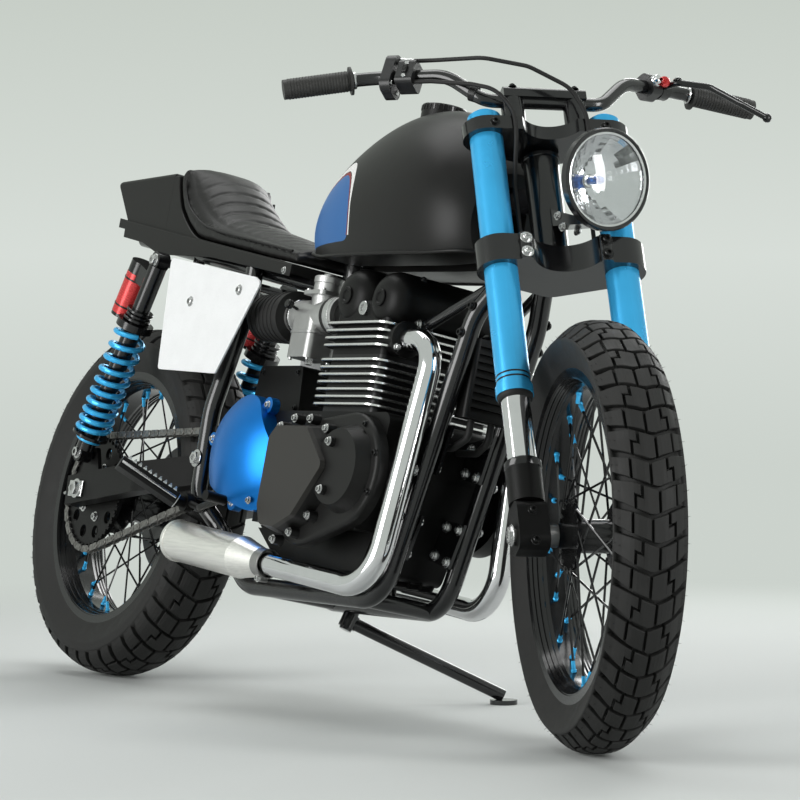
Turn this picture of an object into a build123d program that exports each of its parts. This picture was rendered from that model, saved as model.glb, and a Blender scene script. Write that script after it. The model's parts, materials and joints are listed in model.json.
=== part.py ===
from build123d import *
import os
from math import asin, cos, degrees, radians, sin, sqrt

# Street tracker motorcycle, parked on its side stand with the bars turned right. Millimetres.
# Chassis pieces are modelled upright: X forward from the rear axle, Y left, Z up from the floor.
# Fork pieces are modelled with Z along the steering axis, X forward from it and Z = 0 on the floor.
# Wheels are modelled about their own centre with the axle along Z, its + end on the left.
# Each piece is then placed as the motorcycle is parked, with the origin midway between the axles.

os.makedirs("parts", exist_ok=True)

# Chassis geometry
WHEELBASE = 1490.0
RAKE = 26.0
FORK_OFFSET = 43.0
LEAN = 12.0
STEER_TURN = -23.0

# Wheels
REAR_RADIUS = 333.0
REAR_HALF_WIDTH = 68.0
REAR_RIM_RADIUS = 243.0
REAR_RIM_HALF = 52.0
FRONT_RADIUS = 327.0
FRONT_HALF_WIDTH = 55.0
FRONT_RIM_RADIUS = 254.0
FRONT_RIM_HALF = 40.0
RIM_DEPTH = 26.0
BEAD_DROP = 11.0
SEAT_GAP = 0.3
SPOKES = 36
SPOKE_RADIUS = 2.0
SPOKE_GAP = 0.8
AXLE_RADIUS = 10.0
RUNNING_GAP = 0.3

# Fork, along the steering axis from the floor
FORK_HALF_SPACING = 99.0
FORK_TUBE_RADIUS = 27.0
STANCHION_RADIUS = 23.0
FORK_TUBE_BOTTOM = 579.0
FOOT_SLEEVE_TOP = 462.0
FOOT_SLEEVE_BOTTOM = 394.0
FOOT_BOTTOM = 314.0
FOOT_RADIUS = 28.0
LOWER_CLAMP_BOTTOM = 803.0
LOWER_CLAMP_DEPTH = 47.0
LOWER_CLAMP_TOP = LOWER_CLAMP_BOTTOM + LOWER_CLAMP_DEPTH
BEARING_DEPTH = 6.0
HEAD_LENGTH = 184.0
HEAD_BOTTOM = LOWER_CLAMP_TOP + BEARING_DEPTH
HEAD_TOP = HEAD_BOTTOM + HEAD_LENGTH
UPPER_CLAMP_DEPTH = 24.0
UPPER_CLAMP_BOTTOM = HEAD_TOP + BEARING_DEPTH
UPPER_CLAMP_TOP = UPPER_CLAMP_BOTTOM + UPPER_CLAMP_DEPTH
FORK_CAP_RISE = 10.0
FORK_TUBE_TOP = UPPER_CLAMP_TOP + FORK_CAP_RISE
HEAD_RADIUS = 29.0
STEM_RADIUS = 15.0
HEAD_BORE = STEM_RADIUS + RUNNING_GAP

# Handlebar, in fork coordinates
BAR_RADIUS = 11.1
RISER_HEIGHT = 46.0
BAR_HEIGHT = UPPER_CLAMP_TOP + RISER_HEIGHT
BAR_FORWARD = 52.0
RISER_HALF_SPACING = 52.0
RISER_RADIUS = 19.0
GRIP_OUTER = 398.0
GRIP_REACH = 136.0
GRIP_BEND = GRIP_OUTER - GRIP_REACH
GRIP_RADIUS = 16.5

# Drive line
CHAIN_Y = -90.0
CHAIN_HALF_WIDTH = 9.0
CHAIN_HALF_HEIGHT = 7.5
REAR_SPROCKET_PITCH = 108.7
FRONT_SPROCKET_PITCH = 43.2
SPROCKET_GAP = 0.6
FRONT_SPROCKET_X = 560.0
FRONT_SPROCKET_Z = 421.0
DISC_RADIUS = 127.0
DISC_Y = 84.0
DISC_THICKNESS = 5.0
DISC_GAP = 5.0
PIVOT_X = 440.0
PIVOT_Z = 400.0
ARM_Y = 118.0
ARM_WIDTH = 28.0
ARM_HEIGHT = 56.0

# Engine
CASE_HALF_WIDTH = 118.0
CASE_TOP = 492.0
HEAD_JOINT = 590.0
HEAD_FLOOR_TOP = 655.0
CYLINDER_REAR = 776.0
CYLINDER_FRONT = 972.0
CYLINDER_HALF_WIDTH = 130.0
FIN_PITCH = 12.6
FIN_THICKNESS = 4.0
FIN_DEPTH = 16.0
PORT_Y = 92.0
PORT_Z = 618.0
HEADER_RADIUS = 19.0
MUFFLER_RADIUS = 36.0
CARB_Y = 82.0
CARB_Z = 664.0
CARB_REAR = 610.0
FILTER_REAR = 500.0
FILTER_RADIUS = 46.0

# Frame tubes
TUBE_RADIUS = 16.0
CRADLE_Y = 62.0

# Side stand
STAND_PIVOT = Vector(690, 80, 160)
STAND_FOOT_X = 830.0
STAND_FOOT_Y = 340.0
STAND_RADIUS = 11.0
FOOT_PAD_RADIUS = 24.0
FOOT_PAD_THICKNESS = 8.0

# Tyre half profiles, from the bead to the crown: radius, half width
def tyre_profile(radius, half_width, rim_radius, rim_half):
    """Half section of a tyre seated on its rim, as (radius, half width) from bead to crown."""
    return (
        (rim_radius - BEAD_DROP + SEAT_GAP, rim_half - 6 - SEAT_GAP),
        (rim_radius + SEAT_GAP, rim_half - SEAT_GAP),
        (rim_radius + 40, half_width),
        (radius - 22, half_width - 7),
        (radius - 6, half_width * 0.56),
        (radius, half_width * 0.22),
    )


REAR_TYRE = tyre_profile(REAR_RADIUS, REAR_HALF_WIDTH, REAR_RIM_RADIUS, REAR_RIM_HALF)
FRONT_TYRE = tyre_profile(FRONT_RADIUS, FRONT_HALF_WIDTH, FRONT_RIM_RADIUS, FRONT_RIM_HALF)

# Steering geometry, from the driving sizes
TRAIL = (FRONT_RADIUS * sin(radians(RAKE)) - FORK_OFFSET) / cos(radians(RAKE))
STEER_AXIS = Vector(-sin(radians(RAKE)), 0, cos(radians(RAKE)))
STEER_FORWARD = Vector(cos(radians(RAKE)), 0, sin(radians(RAKE)))
STEER_FOOT = Vector(WHEELBASE + TRAIL, 0, 0)
AXLE_HEIGHT = FRONT_RADIUS * cos(radians(RAKE)) + TRAIL * sin(radians(RAKE))
FORK = Location(Plane(origin=STEER_FOOT, x_dir=STEER_FORWARD, z_dir=STEER_AXIS))
TURNED_FORK = FORK * Location((0, 0, 0), (0, 0, STEER_TURN))
WHEEL_TURN = Location((0, 0, 0), (-90, 0, 0))
FRONT_WHEEL = TURNED_FORK * Location((FORK_OFFSET, 0, AXLE_HEIGHT)) * WHEEL_TURN
REAR_WHEEL = Location((0, 0, REAR_RADIUS)) * WHEEL_TURN


def lowest_point(place, profile):
    """Height of the lowest point of a tyre whose wheel stands at this place."""
    centre = place.position
    axle = Plane(place).z_dir
    tilt = sqrt(1 - axle.Z**2)
    return min(centre.Z + s * w * axle.Z - r * tilt for r, w in profile for s in (1, -1))


# The lean, then the small pitch and lift that set both tyres on the floor
LEANED = Location((0, 0, 0), (-LEAN, 0, 0))
REAR_DROP = lowest_point(LEANED * REAR_WHEEL, REAR_TYRE)
FRONT_DROP = lowest_point(LEANED * FRONT_WHEEL, FRONT_TYRE)
PITCH = degrees(asin((FRONT_DROP - REAR_DROP) / WHEELBASE))
PITCHED = Location((0, 0, 0), (0, PITCH, 0)) * LEANED
LIFT = -lowest_point(PITCHED * REAR_WHEEL, REAR_TYRE)
STANCE = Location((-WHEELBASE / 2, 0, LIFT)) * PITCHED
STEERED = STANCE * TURNED_FORK
FRONT_PLACE = STANCE * FRONT_WHEEL
REAR_PLACE = STANCE * REAR_WHEEL
FLOOR = Plane(STANCE.inverse())


def finish(piece, label, place):
    """Label a finished piece and write it where it stands on the parked motorcycle."""
    piece.part.label = label
    standing = piece.part.moved(place)
    standing.label = label
    export_step(standing, f"parts/{label}.step")


def tube(points, radius, bends=()):
    """A round bar along straight runs, with one bend radius for each corner."""
    with BuildPart() as bar:
        with BuildLine() as path:
            if bends:
                FilletPolyline(*points, radius=list(bends))
            else:
                Polyline(*points)
        with BuildSketch(Plane(origin=path.line @ 0, z_dir=path.line % 0)):
            Circle(radius)
        sweep()
    return bar.part


def side_plane(y):
    """A plane facing the right-hand side, with X forward and Y up, at this distance to the left."""
    return Plane.XZ.offset(-y)


def across(points, side):
    """The same route on the left (1) or the right (-1)."""
    return [Vector(x, y * side, z) for x, y, z in points]


# Wheels
def make_tyre(profile):
    """A closed tyre solid from its half profile."""
    half = list(profile)
    with BuildPart() as tyre:
        with BuildSketch(Plane.XZ):
            with BuildLine():
                Polyline(*half, *[(r, -w) for r, w in reversed(half)], close=True)
            make_face()
        revolve(axis=Axis.Z)
    return tyre


def make_rim(rim_radius, rim_half):
    """A shallow drop-centre rim."""
    bed = rim_radius - BEAD_DROP
    floor = rim_radius - RIM_DEPTH
    half = [(rim_radius, rim_half), (bed, rim_half - 6)]
    under = [(rim_radius - 14, -rim_half + 1), (floor, -rim_half * 0.35)]
    with BuildPart() as rim:
        with BuildSketch(Plane.XZ):
            with BuildLine():
                Polyline(
                    *half,
                    *[(r, -w) for r, w in reversed(half)],
                    *under,
                    *[(r, -w) for r, w in reversed(under)],
                    close=True,
                )
            make_face()
        revolve(axis=Axis.Z)
    return rim


SPOKE_CROSS = 60.0
SPOKE_SPLAY = 2.6
NIPPLE_OFFSET = 6.0
SPOKE_STAGGER = 2.4


def make_spokes(flange_edge, flange_z, rim_inner):
    """Spokes laced three-cross from the edges of both hub flanges to the rim."""
    root = flange_edge + SPOKE_RADIUS + SPOKE_GAP / 2
    step = 360 / SPOKES
    # side of the hub, direction of lacing, place of the first nipple in steps of one spoke
    groups = ((-1, 1, 0), (1, 1, 1), (-1, -1, 2), (1, -1, 3))
    with BuildPart() as spokes:
        for side, lacing, first in groups:
            start_z = side * (flange_z + lacing * SPOKE_STAGGER)
            for turn in range(SPOKES // 4):
                rim_angle = radians((first + 4 * turn) * step)
                hub_angle = rim_angle - lacing * radians(SPOKE_CROSS)
                start = Vector(root * cos(hub_angle), root * sin(hub_angle), start_z)
                end_z = side * (NIPPLE_OFFSET + lacing * SPOKE_SPLAY)
                end = Vector(rim_inner * cos(rim_angle), rim_inner * sin(rim_angle), end_z)
                run = end - start
                with BuildSketch(Plane(origin=start, z_dir=run)):
                    RegularPolygon(SPOKE_RADIUS, 6)
                extrude(amount=run.length)
    return spokes


def make_hub(stations, bore):
    """A turned hub from (radius, left end) stations, bored for its axle."""
    with BuildPart() as hub:
        with BuildSketch(Plane.XZ):
            with BuildLine():
                corners = []
                before = stations[0][1]
                for radius, end in stations[1:]:
                    corners += [(radius, before), (radius, end)]
                    before = end
                Polyline((bore, stations[0][1]), *corners, (bore, before), close=True)
            make_face()
        revolve(axis=Axis.Z)
    return hub


FLANGE_HALF = 3.0
HUB_BORE = AXLE_RADIUS + RUNNING_GAP
FLANGE_LIP = 3.0
FRONT_FLANGE_Z = 36.0
FRONT_FLANGE_RADIUS = 50.0
REAR_FLANGE_Z = 42.0
REAR_FLANGE_RADIUS = 66.0
FRONT_HUB_END = 58.0
REAR_HUB_END = 74.0
CARRIER_RADIUS = 58.0
DISC_CARRIER_RADIUS = 46.0

# First row is the right-hand end; each further row is a radius and where that radius ends
FRONT_HUB = (
    (0, -FRONT_HUB_END),
    (19, -FRONT_FLANGE_Z - FLANGE_HALF),
    (FRONT_FLANGE_RADIUS + FLANGE_LIP, -FRONT_FLANGE_Z + FLANGE_HALF),
    (26, FRONT_FLANGE_Z - FLANGE_HALF),
    (FRONT_FLANGE_RADIUS + FLANGE_LIP, FRONT_FLANGE_Z + FLANGE_HALF),
    (19, FRONT_HUB_END),
)
SPROCKET_HALF = 3.5
SPROCKET_FACE = CHAIN_Y + SPROCKET_HALF
DISC_FACE = DISC_Y - DISC_THICKNESS / 2
REAR_HUB = (
    (0, SPROCKET_FACE),
    (CARRIER_RADIUS, SPROCKET_FACE + 14),
    (34, -REAR_FLANGE_Z - FLANGE_HALF),
    (REAR_FLANGE_RADIUS + FLANGE_LIP, -REAR_FLANGE_Z + FLANGE_HALF),
    (40, REAR_FLANGE_Z - FLANGE_HALF),
    (REAR_FLANGE_RADIUS + FLANGE_LIP, REAR_FLANGE_Z + FLANGE_HALF),
    (34, DISC_FACE - 12),
    (DISC_CARRIER_RADIUS, DISC_FACE),
)
finish(make_tyre(FRONT_TYRE), "front_tyre", FRONT_PLACE)
finish(make_rim(FRONT_RIM_RADIUS, FRONT_RIM_HALF), "front_rim", FRONT_PLACE)
front_spokes = make_spokes(
    FRONT_FLANGE_RADIUS + FLANGE_LIP, FRONT_FLANGE_Z, FRONT_RIM_RADIUS - RIM_DEPTH - SPOKE_GAP
)
finish(front_spokes, "front_spokes", FRONT_PLACE)
finish(make_hub(FRONT_HUB, HUB_BORE), "front_hub", FRONT_PLACE)

finish(make_tyre(REAR_TYRE), "rear_tyre", REAR_PLACE)
finish(make_rim(REAR_RIM_RADIUS, REAR_RIM_HALF), "rear_rim", REAR_PLACE)
rear_spokes = make_spokes(
    REAR_FLANGE_RADIUS + FLANGE_LIP, REAR_FLANGE_Z, REAR_RIM_RADIUS - RIM_DEPTH - SPOKE_GAP
)
finish(rear_spokes, "rear_spokes", REAR_PLACE)
finish(make_hub(REAR_HUB, HUB_BORE), "rear_hub", REAR_PLACE)

# Rear sprocket with a ring of lightening holes
SPROCKET_RADIUS = REAR_SPROCKET_PITCH - CHAIN_HALF_HEIGHT - SPROCKET_GAP
with BuildPart() as rear_sprocket:
    with BuildSketch(Plane.XY.offset(CHAIN_Y - SPROCKET_HALF)):
        Circle(SPROCKET_RADIUS)
        Circle(HUB_BORE + 8, mode=Mode.SUBTRACT)
        with PolarLocations(78, 10):
            Circle(12, mode=Mode.SUBTRACT)
    extrude(amount=2 * SPROCKET_HALF)
finish(rear_sprocket, "rear_sprocket", REAR_PLACE)

# Rear brake disc with slots between its spokes
with BuildPart() as rear_disc:
    with BuildSketch(Plane.XY.offset(DISC_FACE)):
        Circle(DISC_RADIUS)
        Circle(36, mode=Mode.SUBTRACT)
        with PolarLocations(76, 6):
            Circle(18, mode=Mode.SUBTRACT)
    extrude(amount=DISC_THICKNESS)
finish(rear_disc, "rear_disc", REAR_PLACE)

# Front fork
FORK_RING_LIP = 2.5
FORK_RING_HEIGHT = 16.0
with BuildPart() as fork_tubes:
    with BuildSketch(Plane.XY.offset(FORK_TUBE_BOTTOM)):
        with Locations((FORK_OFFSET, FORK_HALF_SPACING), (FORK_OFFSET, -FORK_HALF_SPACING)):
            Circle(FORK_TUBE_RADIUS)
            Circle(STANCHION_RADIUS + SEAT_GAP, mode=Mode.SUBTRACT)
    extrude(amount=FORK_TUBE_TOP - FORK_TUBE_BOTTOM)
    with BuildSketch(Plane.XY.offset(FORK_TUBE_TOP)):
        with Locations((FORK_OFFSET, FORK_HALF_SPACING), (FORK_OFFSET, -FORK_HALF_SPACING)):
            Circle(FORK_TUBE_RADIUS)
    extrude(amount=8)
    with BuildSketch(Plane.XY.offset(FORK_TUBE_BOTTOM)):
        with Locations((FORK_OFFSET, FORK_HALF_SPACING), (FORK_OFFSET, -FORK_HALF_SPACING)):
            Circle(FORK_TUBE_RADIUS + FORK_RING_LIP)
            Circle(STANCHION_RADIUS + SEAT_GAP, mode=Mode.SUBTRACT)
    extrude(amount=FORK_RING_HEIGHT)
finish(fork_tubes, "fork_tubes", STEERED)

STANCHION_REACH = 120.0
with BuildPart() as stanchions:
    with BuildSketch(Plane.XY.offset(FOOT_SLEEVE_TOP)):
        with Locations((FORK_OFFSET, FORK_HALF_SPACING), (FORK_OFFSET, -FORK_HALF_SPACING)):
            Circle(STANCHION_RADIUS)
    extrude(amount=FORK_TUBE_BOTTOM + STANCHION_REACH - FOOT_SLEEVE_TOP)
finish(stanchions, "stanchions", STEERED)

FRONT_AXLE_HALF = 128.0
FOOT_HALF_WIDTH = 24.0
with BuildPart() as axle_feet:
    for side in (1, -1):
        with BuildSketch(Plane.XY.offset(FOOT_SLEEVE_BOTTOM)):
            with Locations((FORK_OFFSET, side * FORK_HALF_SPACING)):
                Circle(FOOT_RADIUS)
        extrude(amount=FOOT_SLEEVE_TOP - FOOT_SLEEVE_BOTTOM)
        with BuildSketch(side_plane(side * FORK_HALF_SPACING + FOOT_HALF_WIDTH)):
            with Locations((FORK_OFFSET, (FOOT_SLEEVE_BOTTOM + FOOT_BOTTOM) / 2)):
                RectangleRounded(2 * FOOT_RADIUS, FOOT_SLEEVE_BOTTOM - FOOT_BOTTOM, 18)
        extrude(amount=2 * FOOT_HALF_WIDTH)
    with BuildSketch(side_plane(FRONT_AXLE_HALF)):
        with Locations((FORK_OFFSET, AXLE_HEIGHT)):
            Circle(AXLE_RADIUS + SEAT_GAP)
    extrude(amount=2 * FRONT_AXLE_HALF, mode=Mode.SUBTRACT)
finish(axle_feet, "axle_feet", STEERED)

FOOT_INNER = FORK_HALF_SPACING - FOOT_HALF_WIDTH
with BuildPart() as front_axle:
    with BuildSketch(side_plane(FRONT_AXLE_HALF)):
        with Locations((FORK_OFFSET, AXLE_HEIGHT)):
            Circle(AXLE_RADIUS)
    extrude(amount=2 * FRONT_AXLE_HALF)
    for side in (1, -1):
        outer = FOOT_INNER if side > 0 else -FRONT_HUB_END - RUNNING_GAP
        with BuildSketch(side_plane(outer)):
            with Locations((FORK_OFFSET, AXLE_HEIGHT)):
                Circle(AXLE_RADIUS + 8)
        extrude(amount=FOOT_INNER - FRONT_HUB_END - RUNNING_GAP)
finish(front_axle, "front_axle", STEERED)

CLAMP_WALL = 11.0


def clamp_outline(boss_radius):
    """Plan of a fork clamp: two split eyes bridged past the stem boss."""
    with BuildSketch() as plan:
        with Locations((FORK_OFFSET, FORK_HALF_SPACING), (FORK_OFFSET, -FORK_HALF_SPACING)):
            Circle(FORK_TUBE_RADIUS + CLAMP_WALL)
        Circle(boss_radius)
        make_hull()
        with Locations((FORK_OFFSET, FORK_HALF_SPACING), (FORK_OFFSET, -FORK_HALF_SPACING)):
            Circle(FORK_TUBE_RADIUS + SEAT_GAP, mode=Mode.SUBTRACT)
    return plan.sketch


CLAMP_WAIST = 58.0
CLAMP_WAIST_X = FORK_OFFSET + 62.0
LUG_FORWARD = FORK_OFFSET + 30.0
LUG_INWARD = FORK_HALF_SPACING - 34.0
LUG_LENGTH = 30.0
LUG_WIDTH = 20.0
with BuildPart() as lower_clamp:
    with BuildSketch(Plane.XY.offset(LOWER_CLAMP_BOTTOM)):
        add(clamp_outline(34))
        with Locations((CLAMP_WAIST_X, 0)):
            Circle(CLAMP_WAIST, mode=Mode.SUBTRACT)
        with Locations((LUG_FORWARD, LUG_INWARD), (LUG_FORWARD, -LUG_INWARD)):
            RectangleRounded(LUG_LENGTH, LUG_WIDTH, 6)
        with Locations((FORK_OFFSET, FORK_HALF_SPACING), (FORK_OFFSET, -FORK_HALF_SPACING)):
            Circle(FORK_TUBE_RADIUS + SEAT_GAP, mode=Mode.SUBTRACT)
    extrude(amount=LOWER_CLAMP_DEPTH)
    with BuildSketch(Plane.XY.offset(LOWER_CLAMP_TOP)):
        Circle(STEM_RADIUS)
    extrude(amount=UPPER_CLAMP_TOP - LOWER_CLAMP_TOP)
finish(lower_clamp, "lower_clamp", STEERED)

RISER_TOP = BAR_HEIGHT - SEAT_GAP
with BuildPart() as upper_clamp:
    with BuildSketch(Plane.XY.offset(UPPER_CLAMP_BOTTOM)):
        add(clamp_outline(30))
        with Locations((CLAMP_WAIST_X, 0)):
            Circle(CLAMP_WAIST - 6, mode=Mode.SUBTRACT)
        Circle(STEM_RADIUS + SEAT_GAP, mode=Mode.SUBTRACT)
    extrude(amount=UPPER_CLAMP_TOP - UPPER_CLAMP_BOTTOM)
    with BuildSketch(Plane.XY.offset(UPPER_CLAMP_TOP)):
        with Locations((BAR_FORWARD, RISER_HALF_SPACING), (BAR_FORWARD, -RISER_HALF_SPACING)):
            Circle(RISER_RADIUS)
    extrude(amount=RISER_TOP - UPPER_CLAMP_TOP)
    with BuildSketch(side_plane(2 * RISER_HALF_SPACING)):
        with Locations((BAR_FORWARD, BAR_HEIGHT)):
            Circle(BAR_RADIUS + SEAT_GAP)
    extrude(amount=4 * RISER_HALF_SPACING, mode=Mode.SUBTRACT)
finish(upper_clamp, "upper_clamp", STEERED)

BAR_CAP_HEIGHT = 20.0
BAR_CAP_HALF = RISER_HALF_SPACING + RISER_RADIUS - 2
with BuildPart() as bar_clamp:
    with BuildSketch(side_plane(BAR_CAP_HALF)):
        with Locations((BAR_FORWARD, BAR_HEIGHT + SEAT_GAP)):
            Rectangle(2 * RISER_RADIUS - 2, BAR_CAP_HEIGHT, align=(Align.CENTER, Align.MIN))
        with Locations((BAR_FORWARD, BAR_HEIGHT)):
            Circle(BAR_RADIUS + SEAT_GAP, mode=Mode.SUBTRACT)
    extrude(amount=2 * BAR_CAP_HALF)
    fillet(bar_clamp.faces().sort_by(Axis.Z)[-1].edges().filter_by(Axis.Y), 8)
finish(bar_clamp, "bar_clamp", STEERED)

# Handlebar: forward, out and up from the floor for one half, then mirrored
BAR_HALF = (
    (BAR_FORWARD, GRIP_BEND - 164, BAR_HEIGHT),
    (BAR_FORWARD - 22, GRIP_BEND - 112, BAR_HEIGHT + 60),
    (BAR_FORWARD - 96, GRIP_BEND, BAR_HEIGHT + 98),
    (BAR_FORWARD - 116, GRIP_OUTER, BAR_HEIGHT + 83),
)
BAR_BENDS = (36, 80, 100)
bar_points = across(reversed(BAR_HALF), -1) + across(BAR_HALF, 1)
with BuildPart() as handlebar:
    add(tube(bar_points, BAR_RADIUS, (*reversed(BAR_BENDS), *BAR_BENDS)))
finish(handlebar, "handlebar", STEERED)

GRIP_START = Vector(*BAR_HALF[2])
GRIP_RUN = Vector(*BAR_HALF[3]) - GRIP_START
GRIP_SETBACK = 28.0
GRIP_END_CAP = 4.0


def grip_plane(distance, side):
    """A plane square to the grip at this distance along it from the bend, on one side."""
    direction = GRIP_RUN.normalized()
    point = GRIP_START + direction * distance
    way = Vector(direction.X, side * direction.Y, direction.Z)
    return Plane(origin=Vector(point.X, side * point.Y, point.Z), z_dir=way)


with BuildPart() as grips:
    for side in (1, -1):
        with BuildSketch(grip_plane(GRIP_SETBACK, side)):
            Circle(GRIP_RADIUS)
            Circle(BAR_RADIUS + SEAT_GAP, mode=Mode.SUBTRACT)
        extrude(amount=GRIP_RUN.length - GRIP_SETBACK + SEAT_GAP)
        with BuildSketch(grip_plane(GRIP_RUN.length + SEAT_GAP, side)):
            Circle(GRIP_RADIUS)
        extrude(amount=GRIP_END_CAP)
        with BuildSketch(grip_plane(GRIP_SETBACK, side)):
            Circle(GRIP_RADIUS + 7)
            Circle(BAR_RADIUS + SEAT_GAP, mode=Mode.SUBTRACT)
        extrude(amount=4)
finish(grips, "grips", STEERED)

# Throttle drum and switch box on the right, clutch perch and button box on the left
BAR_CLIMB = Vector(*BAR_HALF[2]) - Vector(*BAR_HALF[1])


def bar_plane(distance, side):
    """A plane square to the straight bar between its bends, at this distance inside the grip bend."""
    direction = BAR_CLIMB.normalized()
    point = Vector(*BAR_HALF[2]) - direction * distance
    way = Vector(direction.X, side * direction.Y, direction.Z)
    return Plane(origin=Vector(point.X, side * point.Y, point.Z), x_dir=(1, 0, 0), z_dir=way)


# side, distance from the grip bend, depth, height, corner radius, length along the bar
CONTROL_HOUSINGS = (
    (-1, 52, 48, 70, 14, 18),
    (-1, 88, 42, 46, 8, 30),
    (1, 88, 36, 40, 10, 26),
)
with BuildPart() as bar_controls:
    for side, distance, depth, height, corner, length in CONTROL_HOUSINGS:
        with BuildSketch(bar_plane(distance, side)):
            RectangleRounded(depth, height, corner)
            Circle(BAR_RADIUS + SEAT_GAP, mode=Mode.SUBTRACT)
        extrude(amount=length)
finish(bar_controls, "bar_controls", STEERED)

LEVER_PERCH = 54.0
LEVER_TIP = Vector(-8, GRIP_OUTER + 6, BAR_HEIGHT + 30)
LEVER_ROUTE = (
    (-16, GRIP_BEND - 36, BAR_HEIGHT + 84),
    (16, GRIP_BEND - 14, BAR_HEIGHT + 76),
    (20, GRIP_BEND + 38, BAR_HEIGHT + 68),
    (2, GRIP_BEND + 94, BAR_HEIGHT + 50),
    LEVER_TIP,
)
with BuildPart() as clutch_lever:
    with BuildSketch(bar_plane(LEVER_PERCH, 1)):
        Circle(18)
    extrude(amount=22)
    add(tube(LEVER_ROUTE, 5.5, (14, 40, 60)))
    with Locations(LEVER_TIP):
        Sphere(8)
    with BuildSketch(bar_plane(LEVER_PERCH + 40, 1)):
        Circle(BAR_RADIUS + SEAT_GAP)
    extrude(amount=70, mode=Mode.SUBTRACT)
finish(clutch_lever, "clutch_lever", STEERED)

# Cables held along the bar, past the front of the upper clamp and down to the lower clamp
CABLE_RADIUS = 3.5
CABLE_FRONT = 84.8
CABLE_Y = 60.0
CABLE_DROP = LOWER_CLAMP_TOP + SEAT_GAP
CABLE_START = bar_plane(CONTROL_HOUSINGS[0][1] + SEAT_GAP, -1)
LEAD_START = bar_plane(CONTROL_HOUSINGS[1][1] + SEAT_GAP, -1)
CABLE_RISE = 29.0
CABLE_RUN = 60.0
LEAD_RISE = -17.0
LEAD_RUN = 30.0


def housing_point(plane, forward, up, inward):
    """A point on a right-hand housing: forward, up and inward along the bar."""
    return plane.from_local_coords(Vector(forward, up, -inward))


THROTTLE_CABLE = (
    housing_point(CABLE_START, 6, CABLE_RISE, 0),
    housing_point(CABLE_START, 6, CABLE_RISE, CABLE_RUN),
    (78, -100, BAR_HEIGHT + 66),
    (94, -30, BAR_HEIGHT + 42),
    (94, 36, BAR_HEIGHT + 4),
    (CABLE_FRONT, CABLE_Y, UPPER_CLAMP_TOP + 10),
    (CABLE_FRONT, CABLE_Y, UPPER_CLAMP_BOTTOM - 10),
    (46, CABLE_Y + 2, LOWER_CLAMP_TOP + 110),
    (42, CABLE_Y, LOWER_CLAMP_TOP + 55),
    (42, CABLE_Y, CABLE_DROP),
)
THROTTLE_BENDS = (60, 60, 60, 60, 60, 60, 60, 60)
SWITCH_LEAD = (
    housing_point(LEAD_START, 8, LEAD_RISE, 0),
    housing_point(LEAD_START, 8, LEAD_RISE, LEAD_RUN),
    (66, -122, BAR_HEIGHT + 22),
    (CABLE_FRONT, -88, BAR_HEIGHT + 2),
    (CABLE_FRONT, -CABLE_Y, UPPER_CLAMP_TOP + 10),
    (CABLE_FRONT, -CABLE_Y, UPPER_CLAMP_BOTTOM - 10),
    (46, -CABLE_Y - 2, LOWER_CLAMP_TOP + 110),
    (42, -CABLE_Y, LOWER_CLAMP_TOP + 55),
    (42, -CABLE_Y, CABLE_DROP),
)
SWITCH_BENDS = (30, 60, 60, 60, 60, 60, 60)
with BuildPart() as control_cables:
    add(tube(THROTTLE_CABLE, CABLE_RADIUS, THROTTLE_BENDS))
    add(tube(SWITCH_LEAD, CABLE_RADIUS, SWITCH_BENDS))
finish(control_cables, "control_cables", STEERED)

# Tail tray: its underside runs straight from the tank to the tail, and the seat rails lie under it
TRAY_FRONT = Vector(596, 0, 738)
TRAY_REAR = Vector(-93, 0, 850)
RAIL_RADIUS = 12.0
RAIL_Y = 60.0
CROSS_RADIUS = 10.0
POST_X = 640.0
TRAY_SLOPE = (TRAY_REAR.Z - TRAY_FRONT.Z) / (TRAY_REAR.X - TRAY_FRONT.X)


def rail_height(x):
    """Height of the seat rails' centre line, just under the tray."""
    drop = (RAIL_RADIUS + SEAT_GAP) * sqrt(1 + TRAY_SLOPE**2)
    return TRAY_FRONT.Z + (x - TRAY_FRONT.X) * TRAY_SLOPE - drop


# Frame: head tube with the backbone, turned down at its rear end to the seat rails
BACKBONE_RADIUS = 22.0
BACKBONE_REAR_Z = 812.0
BACKBONE_FRONT = Vector(1170, 0, 872)
BACKBONE_BEND = 46.0
HEAD_PLANE = Plane(
    origin=STEER_FOOT + STEER_AXIS * HEAD_BOTTOM, x_dir=STEER_FORWARD, z_dir=STEER_AXIS
)
POST_BOTTOM = rail_height(POST_X) + CROSS_RADIUS + SEAT_GAP
with BuildPart() as frame_backbone:
    with BuildSketch(HEAD_PLANE):
        Circle(HEAD_RADIUS)
    extrude(amount=HEAD_TOP - HEAD_BOTTOM)
    add(
        tube(
            [BACKBONE_FRONT, (POST_X, 0, BACKBONE_REAR_Z), (POST_X, 0, POST_BOTTOM)],
            BACKBONE_RADIUS,
            (BACKBONE_BEND,),
        )
    )
    with BuildSketch(HEAD_PLANE):
        Circle(HEAD_BORE)
    extrude(amount=HEAD_TOP - HEAD_BOTTOM, mode=Mode.SUBTRACT)
finish(frame_backbone, "frame_backbone", STANCE)

# Side stand hinge: square to the leg when it is down and when it is folded back
FOOT_RISE = 14.0
FOOT_POINT = FLOOR.from_local_coords(Vector(STAND_FOOT_X - WHEELBASE / 2, STAND_FOOT_Y, FOOT_RISE))
STAND_DOWN = (FOOT_POINT - STAND_PIVOT).normalized()
STAND_FOLDED = Vector(-0.985, 0.15, 0.02).normalized()
STAND_AXIS = STAND_DOWN.cross(STAND_FOLDED).normalized()
STAND_EYE_HALF = 12.0
STAND_EYE_RADIUS = 15.0
STAND_PIN_RADIUS = 6.0
STAND_BOSS_RADIUS = 11.0
STAND_BOSS_REACH = 32.0


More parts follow.
